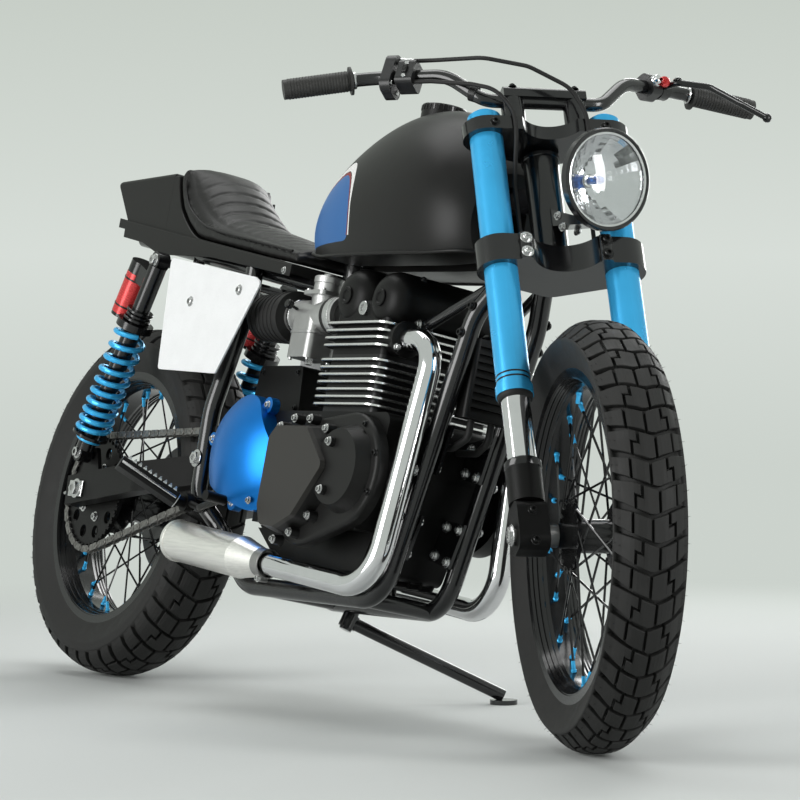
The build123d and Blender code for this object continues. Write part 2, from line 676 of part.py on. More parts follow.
def stand_plane(distance):
    """A plane square to the stand's hinge at this distance up it from the middle of the eye."""
    return Plane(origin=STAND_PIVOT + STAND_AXIS * distance, z_dir=STAND_AXIS)


# Cradle: one bent tube on each side, from the head tube round the engine and up past the seat rails
UPRIGHT_Y = RAIL_Y + RAIL_RADIUS + TUBE_RADIUS + SEAT_GAP
UPRIGHT_OUT = 121.0
CRADLE_ROUTE = (
    (1203, 10, 806),
    (1130, CRADLE_Y, 664),
    (1002, CRADLE_Y, 190),
    (606, 84, 190),
    (484, 86, 282),
    (PIVOT_X + 4, UPRIGHT_OUT, 334),
    (PIVOT_X - 4, UPRIGHT_OUT, 490),
    (PIVOT_X, UPRIGHT_Y, 690),
    (PIVOT_X, UPRIGHT_Y, 755),
)
CRADLE_BENDS = (120, 70, 80, 50, 50, 200, 200)
# Cross tubes between the lower rails: X, Z, half length
CROSS_TUBES = ((965, 190, 62), (640, 190, 80))
BRACE_RADIUS = 9.0
BRACE_GAP = 2.2
BRACE_ROUTE = ((CYLINDER_FRONT + BRACE_GAP, 58, 645), (1008, 64, 650), (1163, 38.6, 728))
PEG_MOUNT = Vector(464, 140, 318)
PEG_BOSS_START = 102.0
PEG_BOSS_RADIUS = 13.0
with BuildPart() as cradle_tubes:
    for side in (1, -1):
        add(tube(across(CRADLE_ROUTE, side), TUBE_RADIUS, CRADLE_BENDS))
        add(tube(across(BRACE_ROUTE, side), BRACE_RADIUS, (30,)))
        peg_boss = [(PEG_MOUNT.X, PEG_BOSS_START, PEG_MOUNT.Z), tuple(PEG_MOUNT)]
        add(tube(across(peg_boss, side), PEG_BOSS_RADIUS))
    for x, z, half in CROSS_TUBES:
        add(tube([(x, -half, z), (x, half, z)], TUBE_RADIUS - 2))
    with BuildSketch(HEAD_PLANE.offset(-60)):
        Circle(HEAD_RADIUS + SEAT_GAP)
    extrude(amount=200, mode=Mode.SUBTRACT)
    with BuildSketch(stand_plane(STAND_EYE_HALF + SEAT_GAP)):
        Circle(STAND_BOSS_RADIUS)
    extrude(amount=STAND_BOSS_REACH - STAND_EYE_HALF)
    with BuildSketch(stand_plane(-STAND_EYE_HALF - SEAT_GAP - 4)):
        Circle(STAND_PIN_RADIUS)
    extrude(amount=2 * STAND_EYE_HALF + 8)
    with BuildSketch(stand_plane(-STAND_EYE_HALF - SEAT_GAP - 4)):
        Circle(STAND_BOSS_RADIUS)
    extrude(amount=4)
finish(cradle_tubes, "cradle_tubes", STANCE)

with BuildPart() as side_stand:
    with BuildSketch(stand_plane(-STAND_EYE_HALF)):
        Circle(STAND_EYE_RADIUS)
    extrude(amount=2 * STAND_EYE_HALF)
    add(tube([STAND_PIVOT, FOOT_POINT], STAND_RADIUS))
    with BuildSketch(stand_plane(-STAND_EYE_HALF)):
        Circle(STAND_PIN_RADIUS + RUNNING_GAP)
    extrude(amount=2 * STAND_EYE_HALF, mode=Mode.SUBTRACT)
    with BuildSketch(FLOOR):
        with Locations((STAND_FOOT_X - WHEELBASE / 2, STAND_FOOT_Y)):
            Circle(FOOT_PAD_RADIUS)
    extrude(amount=FOOT_PAD_THICKNESS)
finish(side_stand, "side_stand", STANCE)

# Seat subframe: two straight rails under the tail, with the shock studs hung below them
SHOCK_TOP = Vector(174, 140, 765)
SHOCK_BOTTOM = Vector(9, 140, 400)
STUD_RADIUS = 8.0
STUD_HALF = 156.0
RAIL_END = -60.0
RAIL_FRONT = POST_X + 16.0
with BuildPart() as subframe:
    for side in (1, -1):
        rail = [(x, RAIL_Y, rail_height(x)) for x in (RAIL_FRONT, RAIL_END)]
        add(tube(across(rail, side), RAIL_RADIUS))
        hanger = [(SHOCK_TOP.X, RAIL_Y, SHOCK_TOP.Z), (SHOCK_TOP.X, RAIL_Y, rail_height(SHOCK_TOP.X))]
        add(tube(across(hanger, side), RAIL_RADIUS - 1))
    for x in (POST_X, RAIL_END + 30):
        add(tube([(x, -RAIL_Y, rail_height(x)), (x, RAIL_Y, rail_height(x))], CROSS_RADIUS))
    add(tube([(SHOCK_TOP.X, -STUD_HALF, SHOCK_TOP.Z), (SHOCK_TOP.X, STUD_HALF, SHOCK_TOP.Z)], STUD_RADIUS))
finish(subframe, "subframe", STANCE)

# Swingarm: pivot tube and two box arms
ARM_ROUTE = (
    (PIVOT_X, 72, PIVOT_Z),
    (345, 72, PIVOT_Z - 14),
    (212, ARM_Y, 362),
    (-48, ARM_Y, REAR_RADIUS - 4),
)
PIVOT_RADIUS = 24.0
PIVOT_HALF = UPRIGHT_OUT - TUBE_RADIUS - 0.5
LUG_Y = 118.0
LUG_HALF = 4.0
STUD_MID = 138.0
# Lug that carries the lower end of the shock: X, Z
LUG_OUTLINE = ((-30, 340), (62, 345), (26, 414), (-8, 414))
with BuildPart() as swingarm:
    for side in (1, -1):
        with BuildLine() as arm_path:
            FilletPolyline(*across(ARM_ROUTE, side), radius=60)
        with BuildSketch(Plane(origin=arm_path.line @ 0, x_dir=(0, 1, 0), z_dir=arm_path.line % 0)):
            Rectangle(ARM_WIDTH, ARM_HEIGHT)
        sweep(path=arm_path.line)
    add(tube([(PIVOT_X, -PIVOT_HALF, PIVOT_Z), (PIVOT_X, PIVOT_HALF, PIVOT_Z)], PIVOT_RADIUS))
    for side in (1, -1):
        with BuildSketch(side_plane(side * LUG_Y + LUG_HALF)):
            with BuildLine():
                Polyline(*LUG_OUTLINE, close=True)
            make_face()
        extrude(amount=2 * LUG_HALF)
        with BuildSketch(side_plane(side * STUD_MID + STUD_MID - LUG_Y)):
            with Locations((SHOCK_BOTTOM.X, SHOCK_BOTTOM.Z)):
                Circle(STUD_RADIUS)
        extrude(amount=2 * (STUD_MID - LUG_Y))
    with BuildSketch(side_plane(160)):
        with Locations((0, REAR_RADIUS)):
            Circle(AXLE_RADIUS + SEAT_GAP)
    extrude(amount=320, mode=Mode.SUBTRACT)
finish(swingarm, "swingarm", STANCE)

REAR_AXLE_HALF = 146.0
with BuildPart() as rear_axle:
    with BuildSketch(side_plane(REAR_AXLE_HALF)):
        with Locations((0, REAR_RADIUS)):
            Circle(AXLE_RADIUS)
    extrude(amount=2 * REAR_AXLE_HALF)
finish(rear_axle, "rear_axle", STANCE)

# Shock absorbers with a reservoir behind the upper end, and their springs
SHOCK_RUN = SHOCK_TOP - SHOCK_BOTTOM
SHOCK_BODY_RADIUS = 17.0
SPRING_RADIUS = 29.0
SPRING_WIRE = 5.5
RESERVOIR_RADIUS = 23.0
RESERVOIR_LENGTH = 112.0
RESERVOIR_SET = 58.0
EYE_RADIUS = 17.0
EYE_HALF = 12.0


def shock_plane(distance, side):
    """A plane square to the shock at this distance up from its lower eye, X pointing rearward."""
    along = SHOCK_RUN.normalized()
    point = SHOCK_BOTTOM + along * distance
    return Plane(origin=Vector(point.X, side * point.Y, point.Z), x_dir=(-along.Z, 0, along.X), z_dir=along)


with BuildPart() as shock_absorbers:
    for side in (1, -1):
        for eye in (SHOCK_TOP, SHOCK_BOTTOM):
            with BuildSketch(side_plane(side * eye.Y + EYE_HALF)):
                with Locations((eye.X, eye.Z)):
                    Circle(EYE_RADIUS)
            extrude(amount=2 * EYE_HALF)
        with BuildSketch(shock_plane(10, side)):
            Circle(SHOCK_BODY_RADIUS)
        extrude(amount=SHOCK_RUN.length - 20)
        with BuildSketch(shock_plane(36, side)):
            Circle(SPRING_RADIUS + SPRING_WIRE)
        extrude(amount=6)
        with BuildSketch(shock_plane(262, side)):
            Circle(SPRING_RADIUS + SPRING_WIRE)
        extrude(amount=14)
        with BuildSketch(shock_plane(SHOCK_RUN.length - 60, side)):
            with Locations((RESERVOIR_SET / 2, 0)):
                Rectangle(RESERVOIR_SET, 30)
        extrude(amount=34)
        with BuildSketch(shock_plane(SHOCK_RUN.length - 26 - RESERVOIR_LENGTH, side)):
            with Locations((RESERVOIR_SET, 0)):
                Circle(RESERVOIR_RADIUS)
        extrude(amount=RESERVOIR_LENGTH)
    for eye in (SHOCK_TOP, SHOCK_BOTTOM):
        with BuildSketch(side_plane(160)):
            with Locations((eye.X, eye.Z)):
                Circle(STUD_RADIUS + SEAT_GAP)
        extrude(amount=320, mode=Mode.SUBTRACT)
finish(shock_absorbers, "shock_absorbers", STANCE)

SPRING_START = 42.0
SPRING_END = 262.0
COILS = 11
SPRING_SLEEVE = 3.0
with BuildPart() as shock_springs:
    pitch = (SPRING_END - SPRING_START - 2 * SPRING_WIRE - 2 * SEAT_GAP) / (COILS - 1)
    for side in (1, -1):
        for coil in range(COILS):
            height = SPRING_START + SPRING_WIRE + SEAT_GAP + coil * pitch
            with BuildSketch(shock_plane(height - SPRING_WIRE, side)):
                Circle(SPRING_RADIUS + SPRING_WIRE)
                Circle(SPRING_RADIUS - SPRING_WIRE, mode=Mode.SUBTRACT)
            extrude(amount=2 * SPRING_WIRE)
        with BuildSketch(shock_plane(SPRING_START + SEAT_GAP, side)):
            Circle(SPRING_RADIUS - SPRING_WIRE + SPRING_SLEEVE)
            Circle(SPRING_RADIUS - SPRING_WIRE, mode=Mode.SUBTRACT)
        extrude(amount=SPRING_END - SPRING_START - 2 * SEAT_GAP)
finish(shock_springs, "shock_springs", STANCE)

# Drive chain: one closed loop round both sprockets
def belt(grow):
    """Outline of a loop round the two sprockets, this far outside their pitch circles."""
    with BuildSketch() as outline:
        with Locations((0, REAR_RADIUS)):
            Circle(REAR_SPROCKET_PITCH + grow)
        with Locations((FRONT_SPROCKET_X, FRONT_SPROCKET_Z)):
            Circle(FRONT_SPROCKET_PITCH + grow)
        make_hull()
    return outline.sketch


with BuildPart() as drive_chain:
    with BuildSketch(side_plane(CHAIN_Y + CHAIN_HALF_WIDTH)):
        add(belt(CHAIN_HALF_HEIGHT))
        add(belt(-CHAIN_HALF_HEIGHT), mode=Mode.SUBTRACT)
    extrude(amount=2 * CHAIN_HALF_WIDTH)
finish(drive_chain, "drive_chain", STANCE)

# Rear brake caliper over the disc, on the left, standing on the swingarm
CALIPER_OUTLINE = ((48, 369.9), (126, 379.8), (116, 446), (56, 438))
CALIPER_HALF_GAP = DISC_THICKNESS / 2 + DISC_GAP
CALIPER_HALF = 24.0
with BuildPart() as rear_caliper:
    with BuildSketch(side_plane(DISC_Y + CALIPER_HALF)):
        with BuildLine():
            Polyline(*CALIPER_OUTLINE, close=True)
        make_face()
    extrude(amount=2 * CALIPER_HALF)
    with BuildSketch(side_plane(DISC_Y + CALIPER_HALF_GAP)):
        with Locations((0, REAR_RADIUS)):
            Circle(DISC_RADIUS + DISC_GAP)
    extrude(amount=2 * CALIPER_HALF_GAP, mode=Mode.SUBTRACT)
finish(rear_caliper, "rear_caliper", STANCE)

# Engine: crankcase with a pocket for the output sprocket on the right
# Side outline of the crankcase: X, Z
CASE_OUTLINE = (
    (566, 318),
    (690, 232),
    (950, 232),
    (1012, 400),
    (1024, CASE_TOP),
    (640, CASE_TOP),
    (536, 456),
    (532, 380),
)
SUMP_HALF_WIDTH = 82.0
SUMP_TOP = 298.0
POCKET_FRONT = 640.0
POCKET_Y = -74.0
with BuildPart() as crankcase:
    with BuildSketch(side_plane(CASE_HALF_WIDTH)) as case_side:
        with BuildLine():
            Polyline(*CASE_OUTLINE, close=True)
        make_face()
        fillet(case_side.vertices(), 18)
    extrude(amount=2 * CASE_HALF_WIDTH)
    with BuildSketch(side_plane(POCKET_Y)):
        with Locations((POCKET_FRONT, CASE_TOP)):
            Rectangle(200, 400, align=(Align.MAX, Align.CENTER))
    extrude(amount=CASE_HALF_WIDTH, mode=Mode.SUBTRACT)
    for side in (1, -1):
        with BuildSketch(Plane.XY.offset(SUMP_TOP)):
            with Locations((CYLINDER_REAR, side * SUMP_HALF_WIDTH)):
                Rectangle(900, 200, align=(Align.CENTER, Align.MIN if side > 0 else Align.MAX))
        extrude(amount=-200, mode=Mode.SUBTRACT)
finish(crankcase, "crankcase", STANCE)

# Electrics box behind the cylinders, resting on the crankcase: X, Z of its side outline
BOX_OUTLINE = ((492, 506), (549, 461), (632, 489.8), (641, 492.4), (655, 492.4), (644, 580), (500, 580))
BOX_HALF_WIDTH = 74.0
with BuildPart() as electrics_box:
    with BuildSketch(side_plane(BOX_HALF_WIDTH)):
        with BuildLine():
            Polyline(*BOX_OUTLINE, close=True)
        make_face()
    extrude(amount=2 * BOX_HALF_WIDTH)
    fillet(electrics_box.edges().filter_by(Axis.Y).sort_by(Axis.Z)[-2:], 10)
finish(electrics_box, "electrics_box", STANCE)

OUTPUT_BOSS_RADIUS = 22.0
with BuildPart() as front_sprocket:
    with BuildSketch(side_plane(POCKET_Y)):
        with Locations((FRONT_SPROCKET_X, FRONT_SPROCKET_Z)):
            Circle(OUTPUT_BOSS_RADIUS)
    extrude(amount=POCKET_Y - CHAIN_Y - SPROCKET_HALF)
    with BuildSketch(side_plane(CHAIN_Y + SPROCKET_HALF)):
        with Locations((FRONT_SPROCKET_X, FRONT_SPROCKET_Z)):
            Circle(FRONT_SPROCKET_PITCH - CHAIN_HALF_HEIGHT - SPROCKET_GAP)
    extrude(amount=2 * SPROCKET_HALF)
finish(front_sprocket, "front_sprocket", STANCE)


def hull_outline(circles):
    """Outline wrapped round circles given as X, Z and radius."""
    with BuildSketch() as outline:
        for x, z, radius in circles:
            with Locations((x, z)):
                Circle(radius)
        make_hull()
    return outline.sketch


# Engine side covers: circles to wrap, as X, Z and radius
SPROCKET_COVER = ((600, 455, 60), (522, 402, 48), (648, 382, 68))
# Mounting ears of the sprocket cover: X, Z, radius
COVER_EARS = ((652, 498, 14), (588, 326, 14), (482, 436, 12))
CLUTCH_COVER = ((830, 368, 107), (945, 392, 96))
# Raised shield over the clutch: X, Z of its corners, then their radius
CLUTCH_SHIELD = (
    (734, 440),
    (758, 464),
    (862, 464),
    (938, 394),
    (862, 300),
    (806, 276),
    (754, 280),
    (734, 318),
)
SHIELD_CORNER = 20.0
SHIELD_DEPTH = 34.0
SHIELD_DRAFT = 14.0
PRIMARY_DOME = (950, 392, 74)
PRIMARY_DEPTH = 24.0
DOME_RADIUS = 190.0
DOME_DEPTH = 52.0
EAR_DEPTH = 16.0
CLUTCH_DEPTH = 22.0
ALTERNATOR_DEPTH = 38.0
COVER_EDGE = 8.0
with BuildPart() as sprocket_cover:
    with Locations((596, -CASE_HALF_WIDTH - DOME_DEPTH + DOME_RADIUS, 412)):
        Sphere(DOME_RADIUS)
    with BuildSketch(side_plane(-CASE_HALF_WIDTH)):
        add(hull_outline(SPROCKET_COVER))
    extrude(amount=DOME_DEPTH + COVER_EDGE, mode=Mode.INTERSECT)
    with BuildSketch(side_plane(-CASE_HALF_WIDTH)):
        for x, z, radius in COVER_EARS:
            with Locations((x, z)):
                Circle(radius)
    extrude(amount=EAR_DEPTH)
finish(sprocket_cover, "sprocket_cover", STANCE)

with BuildPart() as clutch_cover:
    with BuildSketch(side_plane(-CASE_HALF_WIDTH)):
        add(hull_outline(CLUTCH_COVER))
    extrude(amount=CLUTCH_DEPTH)
    fillet(clutch_cover.faces().sort_by(Axis.Y)[0].edges(), COVER_EDGE)
    with BuildSketch(side_plane(-CASE_HALF_WIDTH - CLUTCH_DEPTH)):
        with Locations(PRIMARY_DOME[:2]):
            Circle(PRIMARY_DOME[2])
    extrude(amount=PRIMARY_DEPTH, taper=24)
    with BuildSketch(side_plane(-CASE_HALF_WIDTH - CLUTCH_DEPTH)) as shield:
        with BuildLine():
            Polyline(*CLUTCH_SHIELD, close=True)
        make_face()
        fillet(shield.vertices(), SHIELD_CORNER)
    extrude(amount=SHIELD_DEPTH, taper=SHIELD_DRAFT)
finish(clutch_cover, "clutch_cover", STANCE)

with BuildPart() as alternator_cover:
    with BuildSketch(side_plane(CASE_HALF_WIDTH + ALTERNATOR_DEPTH)):
        add(hull_outline((CLUTCH_COVER[1],)))
    extrude(amount=ALTERNATOR_DEPTH)
    fillet(alternator_cover.faces().sort_by(Axis.Y)[-1].edges(), COVER_EDGE)
finish(alternator_cover, "alternator_cover", STANCE)

# Finned cylinders and head
CYLINDER_X = (CYLINDER_REAR + CYLINDER_FRONT) / 2
CYLINDER_LENGTH = CYLINDER_FRONT - CYLINDER_REAR
CORE_LENGTH = CYLINDER_LENGTH - 2 * FIN_DEPTH
CORE_WIDTH = 2 * (CYLINDER_HALF_WIDTH - FIN_DEPTH)


def fin_levels(bottom, top):
    """Heights of the undersides of the fins between two joint faces."""
    count = int((top - bottom - FIN_THICKNESS) // FIN_PITCH)
    first = bottom + (top - bottom - (count - 1) * FIN_PITCH - FIN_THICKNESS) / 2
    return [first + fin * FIN_PITCH for fin in range(count)]


with BuildPart() as cylinder_block:
    with BuildSketch(Plane.XY.offset(CASE_TOP)):
        with Locations((CYLINDER_X, 0)):
            RectangleRounded(CORE_LENGTH, CORE_WIDTH, 12)
    extrude(amount=HEAD_JOINT - CASE_TOP)
    for level in fin_levels(CASE_TOP, HEAD_JOINT):
        with BuildSketch(Plane.XY.offset(level)):
            with Locations((CYLINDER_X, 0)):
                RectangleRounded(CYLINDER_LENGTH, 2 * CYLINDER_HALF_WIDTH, 24)
        extrude(amount=FIN_THICKNESS)
finish(cylinder_block, "cylinder_block", STANCE)

PORT_RADIUS = 25.0
PORT_FACE = CYLINDER_FRONT + 10.0
INTAKE_FACE = CYLINDER_REAR - 6.0
CAM_FLOOR_RISE = 26.0
CAM_HALF_LENGTH = 120.0
CAM_END_ROUND = 34.0
# Cam barrels across the head: X, Z, radius
CAM_BARRELS = ((824, 690, 52), (930, 684, 50))


def cam_barrel(x, z, radius):
    """A barrel across the head with rounded ends."""
    with BuildPart() as barrel:
        with BuildSketch(side_plane(CAM_HALF_LENGTH)):
            with Locations((x, z)):
                Circle(radius)
        extrude(amount=2 * CAM_HALF_LENGTH)
        fillet(barrel.edges().filter_by(GeomType.CIRCLE), CAM_END_ROUND)
    return barrel.part


with BuildPart() as cylinder_head:
    with BuildSketch(Plane.XY.offset(HEAD_JOINT)):
        with Locations((CYLINDER_X, 0)):
            RectangleRounded(CORE_LENGTH, CORE_WIDTH, 12)
    extrude(amount=HEAD_FLOOR_TOP - HEAD_JOINT)
    for level in fin_levels(HEAD_JOINT, HEAD_FLOOR_TOP):
        with BuildSketch(Plane.XY.offset(level)):
            with Locations((CYLINDER_X, 0)):
                RectangleRounded(CYLINDER_LENGTH, 2 * CYLINDER_HALF_WIDTH, 24)
        extrude(amount=FIN_THICKNESS)
    for side in (1, -1):
        with BuildSketch(Plane.YZ.offset(CYLINDER_X)):
            with Locations((side * PORT_Y, PORT_Z)):
                Circle(PORT_RADIUS)
        extrude(amount=PORT_FACE - CYLINDER_X)
        with BuildSketch(Plane.YZ.offset(INTAKE_FACE)):
            with Locations((side * CARB_Y, CARB_Z)):
                Circle(PORT_RADIUS)
        extrude(amount=CYLINDER_X - INTAKE_FACE)
    with BuildSketch(Plane.XY.offset(HEAD_FLOOR_TOP)):
        with Locations((CYLINDER_X, 0)):
            RectangleRounded(CORE_LENGTH, CORE_WIDTH, 12)
    extrude(amount=CAM_FLOOR_RISE)
    for x, z, radius in CAM_BARRELS:
        add(cam_barrel(x, z, radius))
finish(cylinder_head, "cylinder_head", STANCE)

# Carburettors with float bowls, and cone-ended pod filters behind them
CARB_RADIUS = 29.0
BOWL_X = 672.0
BOWL_DROP = 76.0
SLIDE_CAP_X = BOWL_X + 22.0
SLIDE_CAP_RADIUS = 25.0
SLIDE_CAP_RISE = 66.0
SLIDE_FLANGE_RISE = 34.0
INTAKE_RING_RADIUS = 34.0
INTAKE_RING_LENGTH = 26.0
with BuildPart() as carburettors:
    for side in (1, -1):
        with BuildSketch(Plane.YZ.offset(CARB_REAR)):
            with Locations((side * CARB_Y, CARB_Z)):
                Circle(CARB_RADIUS)
        extrude(amount=INTAKE_FACE - SEAT_GAP - CARB_REAR)
        with BuildSketch(Plane.XY.offset(CARB_Z - BOWL_DROP)):
            with Locations((BOWL_X, side * CARB_Y)):
                RectangleRounded(70, 58, 12)
        extrude(amount=BOWL_DROP)
        with BuildSketch(Plane.XY.offset(CARB_Z)):
            with Locations((SLIDE_CAP_X, side * CARB_Y)):
                Circle(SLIDE_CAP_RADIUS)
        extrude(amount=SLIDE_CAP_RISE)
        with BuildSketch(Plane.XY.offset(CARB_Z + SLIDE_FLANGE_RISE)):
            with Locations((SLIDE_CAP_X, side * CARB_Y)):
                RectangleRounded(66, 62, 10)
        extrude(amount=7)
        with BuildSketch(Plane.YZ.offset(INTAKE_FACE - SEAT_GAP)):
            with Locations((side * CARB_Y, CARB_Z)):
                Circle(INTAKE_RING_RADIUS)
        extrude(amount=-INTAKE_RING_LENGTH)
finish(carburettors, "carburettors", STANCE)

with BuildPart() as air_filters:
    for side in (1, -1):
        with BuildSketch(Plane.YZ.offset(FILTER_REAR)):
            with Locations((side * CARB_Y, CARB_Z)):
                Circle(FILTER_RADIUS - 6)
        with BuildSketch(Plane.YZ.offset(CARB_REAR - SEAT_GAP)):
            with Locations((side * CARB_Y, CARB_Z)):
                Circle(FILTER_RADIUS)
        loft()
finish(air_filters, "air_filters", STANCE)

# Exhaust: a header down the front of each cylinder and back to a short muffler
MUFFLER_START = Vector(742, 138, 226)
MUFFLER_END = Vector(455, 152, 250)
MUFFLER_WAY = (MUFFLER_END - MUFFLER_START).normalized()
MUFFLER_RUN = (MUFFLER_END - MUFFLER_START).length
MUFFLER_CONE = 70.0
MUFFLER_MOUTH = 26.0
HEADER_FRONT = 1078.0
HEADER_BACK_RUN = 320.0
HEADER_ROUTE = (
    (PORT_FACE + SEAT_GAP, PORT_Y, PORT_Z),
    (HEADER_FRONT, PORT_Y, PORT_Z),
    tuple(MUFFLER_START - MUFFLER_WAY * HEADER_BACK_RUN),
    tuple(MUFFLER_START),
)
HEADER_BENDS = (55, 75)
with BuildPart() as exhaust_headers:
    for side in (1, -1):
        add(tube(across(HEADER_ROUTE, side), HEADER_RADIUS, HEADER_BENDS))
finish(exhaust_headers, "exhaust_headers", STANCE)


def muffler_plane(distance, side):
    """A plane square to the muffler at this distance behind the header's end."""
    way = Vector(MUFFLER_WAY.X, side * MUFFLER_WAY.Y, MUFFLER_WAY.Z)
    point = MUFFLER_START + MUFFLER_WAY * distance
    return Plane(origin=Vector(point.X, side * point.Y, point.Z), z_dir=way)


with BuildPart() as mufflers:
    for side in (1, -1):
        with BuildSketch(muffler_plane(SEAT_GAP, side)):
            Circle(HEADER_RADIUS + 4)
        with BuildSketch(muffler_plane(MUFFLER_CONE, side)):
            Circle(MUFFLER_RADIUS)
        loft()
        with BuildSketch(muffler_plane(MUFFLER_CONE, side)):
            Circle(MUFFLER_RADIUS)
        extrude(amount=MUFFLER_RUN - MUFFLER_CONE)
        with BuildSketch(muffler_plane(MUFFLER_RUN, side)):
            Circle(MUFFLER_MOUTH)
        extrude(amount=-60, mode=Mode.SUBTRACT)
finish(mufflers, "mufflers", STANCE)

# Oil cooler between the downtubes, its hoses and the front engine plates
TUBE_INNER = CRADLE_Y - TUBE_RADIUS - SEAT_GAP
COOLER_X = 1108.0
COOLER_BOTTOM = 500.0
COOLER_HEIGHT = 130.0
COOLER_DEPTH = 34.0
COOLER_ROWS = 9
COOLER_BORDER = 9.0
COOLER_PITCH = (COOLER_HEIGHT - 2 * COOLER_BORDER) / COOLER_ROWS
COOLER_SLOT = 7.0
COOLER_SLOT_DEPTH = 11.0
with BuildPart() as oil_cooler:
    with BuildSketch(Plane.XY.offset(COOLER_BOTTOM)):
        with Locations((COOLER_X, 0)):
            RectangleRounded(COOLER_DEPTH, 2 * TUBE_INNER, 8)
    extrude(amount=COOLER_HEIGHT)
    for row in range(COOLER_ROWS):
        height = COOLER_BOTTOM + COOLER_PITCH * (row + 0.5) + COOLER_BORDER
        with Locations((COOLER_X + COOLER_DEPTH / 2, 0, height), (COOLER_X - COOLER_DEPTH / 2, 0, height)):
            Box(2 * COOLER_SLOT_DEPTH, 2 * TUBE_INNER - 2 * COOLER_BORDER, COOLER_SLOT, mode=Mode.SUBTRACT)
finish(oil_cooler, "oil_cooler", STANCE)

HOSE_RADIUS = 6.0
HOSE_ROUTE = (
    (COOLER_X, 20, COOLER_BOTTOM - SEAT_GAP),
    (COOLER_X, 20, COOLER_BOTTOM - 30),
    (COOLER_X - 33, 24, 452),
    (1020.6, 24, 452),
)
with BuildPart() as oil_lines:
    for side in (1, -1):
        add(tube(across(HOSE_ROUTE, side), HOSE_RADIUS, (14, 14)))
finish(oil_lines, "oil_lines", STANCE)

PLATE_THICKNESS = 6.0
# Corner points of each front engine plate: X, Z
ENGINE_PLATES = (
    ((1013.9, 412), (1021.5, 470), (1094, 486), (1072, 404)),
    ((990.9, 342), (965.8, 274), (1026, 262), (1052, 336)),
)
with BuildPart() as engine_plates:
    for side in (1, -1):
        for outline in ENGINE_PLATES:
            with BuildSketch(side_plane(side * (TUBE_INNER - PLATE_THICKNESS / 2) + PLATE_THICKNESS / 2)):
                with BuildLine():
                    Polyline(*outline, close=True)
                make_face()
            extrude(amount=PLATE_THICKNESS)
finish(engine_plates, "engine_plates", STANCE)

# Fuel tank: sections from the seat to the steering head
# X, bottom half width and height, widest half width and height, shoulder half width and height, top
TANK_SECTIONS = (
    (598, 60, 782, 70, 817, 46, 862, 872),
    (660, 88, 770, 102, 842, 64, 930, 954),
    (760, 108, 765, 122, 853, 76, 972, 1010),
    (880, 116, 762, 131, 860, 82, 990, 1032),
    (1005, 110, 760, 125, 865, 74, 970, 1004),
    (1102, 66, 768, 80, 848, 46, 898, 912),
)
TUNNEL_GAP = 0.4
CAP_X = 832.0
CAP_RADIUS = 38.5
CAP_SEAT = 1016.0
CAP_TOP = 1044.0
with BuildPart() as fuel_tank:
    for x, base, base_z, wide, wide_z, shoulder, shoulder_z, top_z in TANK_SECTIONS:
        with BuildSketch(Plane.YZ.offset(x)):
            with BuildLine():
                ThreePointArc((base, base_z), (wide, wide_z), (shoulder, shoulder_z))
                ThreePointArc((shoulder, shoulder_z), (0, top_z), (-shoulder, shoulder_z))
                ThreePointArc((-shoulder, shoulder_z), (-wide, wide_z), (-base, base_z))
                Line((-base, base_z), (base, base_z))
            make_face()
    loft()
    slope = (BACKBONE_FRONT.Z - BACKBONE_REAR_Z) / (BACKBONE_FRONT.X - POST_X)
    roof = BACKBONE_REAR_Z + BACKBONE_RADIUS * sqrt(1 + slope**2) + TUNNEL_GAP
    reach = 640.0
    with BuildSketch(side_plane(BACKBONE_RADIUS + TUNNEL_GAP)):
        with BuildLine():
            Polyline(
                (POST_X - 60, 700),
                (POST_X + reach, 700),
                (POST_X + reach, roof + slope * reach),
                (POST_X - 60, roof - slope * 60),
                close=True,
            )
        make_face()
    extrude(amount=2 * (BACKBONE_RADIUS + TUNNEL_GAP), mode=Mode.SUBTRACT)
    with BuildSketch(Plane.XY.offset(CAP_SEAT)):
        with Locations((CAP_X, 0)):
            Circle(CAP_RADIUS + SEAT_GAP)
    extrude(amount=60, mode=Mode.SUBTRACT)
finish(fuel_tank, "fuel_tank", STANCE)

with BuildPart() as filler_cap:
    with BuildSketch(Plane.XY.offset(CAP_SEAT)):
        with Locations((CAP_X, 0)):
            Circle(CAP_RADIUS)
    extrude(amount=CAP_TOP - CAP_SEAT)
finish(filler_cap, "filler_cap", STANCE)

# Tail unit: a lip that runs under the seat, and a wedge on its rear end that overhangs it
TRAY_HALF = 103.0
TRAY_DEPTH = 18.0
TAIL_HALF = 97.0
TAIL_EDGE = 8.0
TAIL_TOP_REAR = (-141, 945)
TAIL_TOP_FRONT = (88, 950)
TAIL_FOOT_X = -64.0


def tray_height(x):
    """Height of the top of the tray at this distance forward of the rear axle."""
    return TRAY_FRONT.Z + (x - TRAY_FRONT.X) * TRAY_SLOPE + TRAY_DEPTH


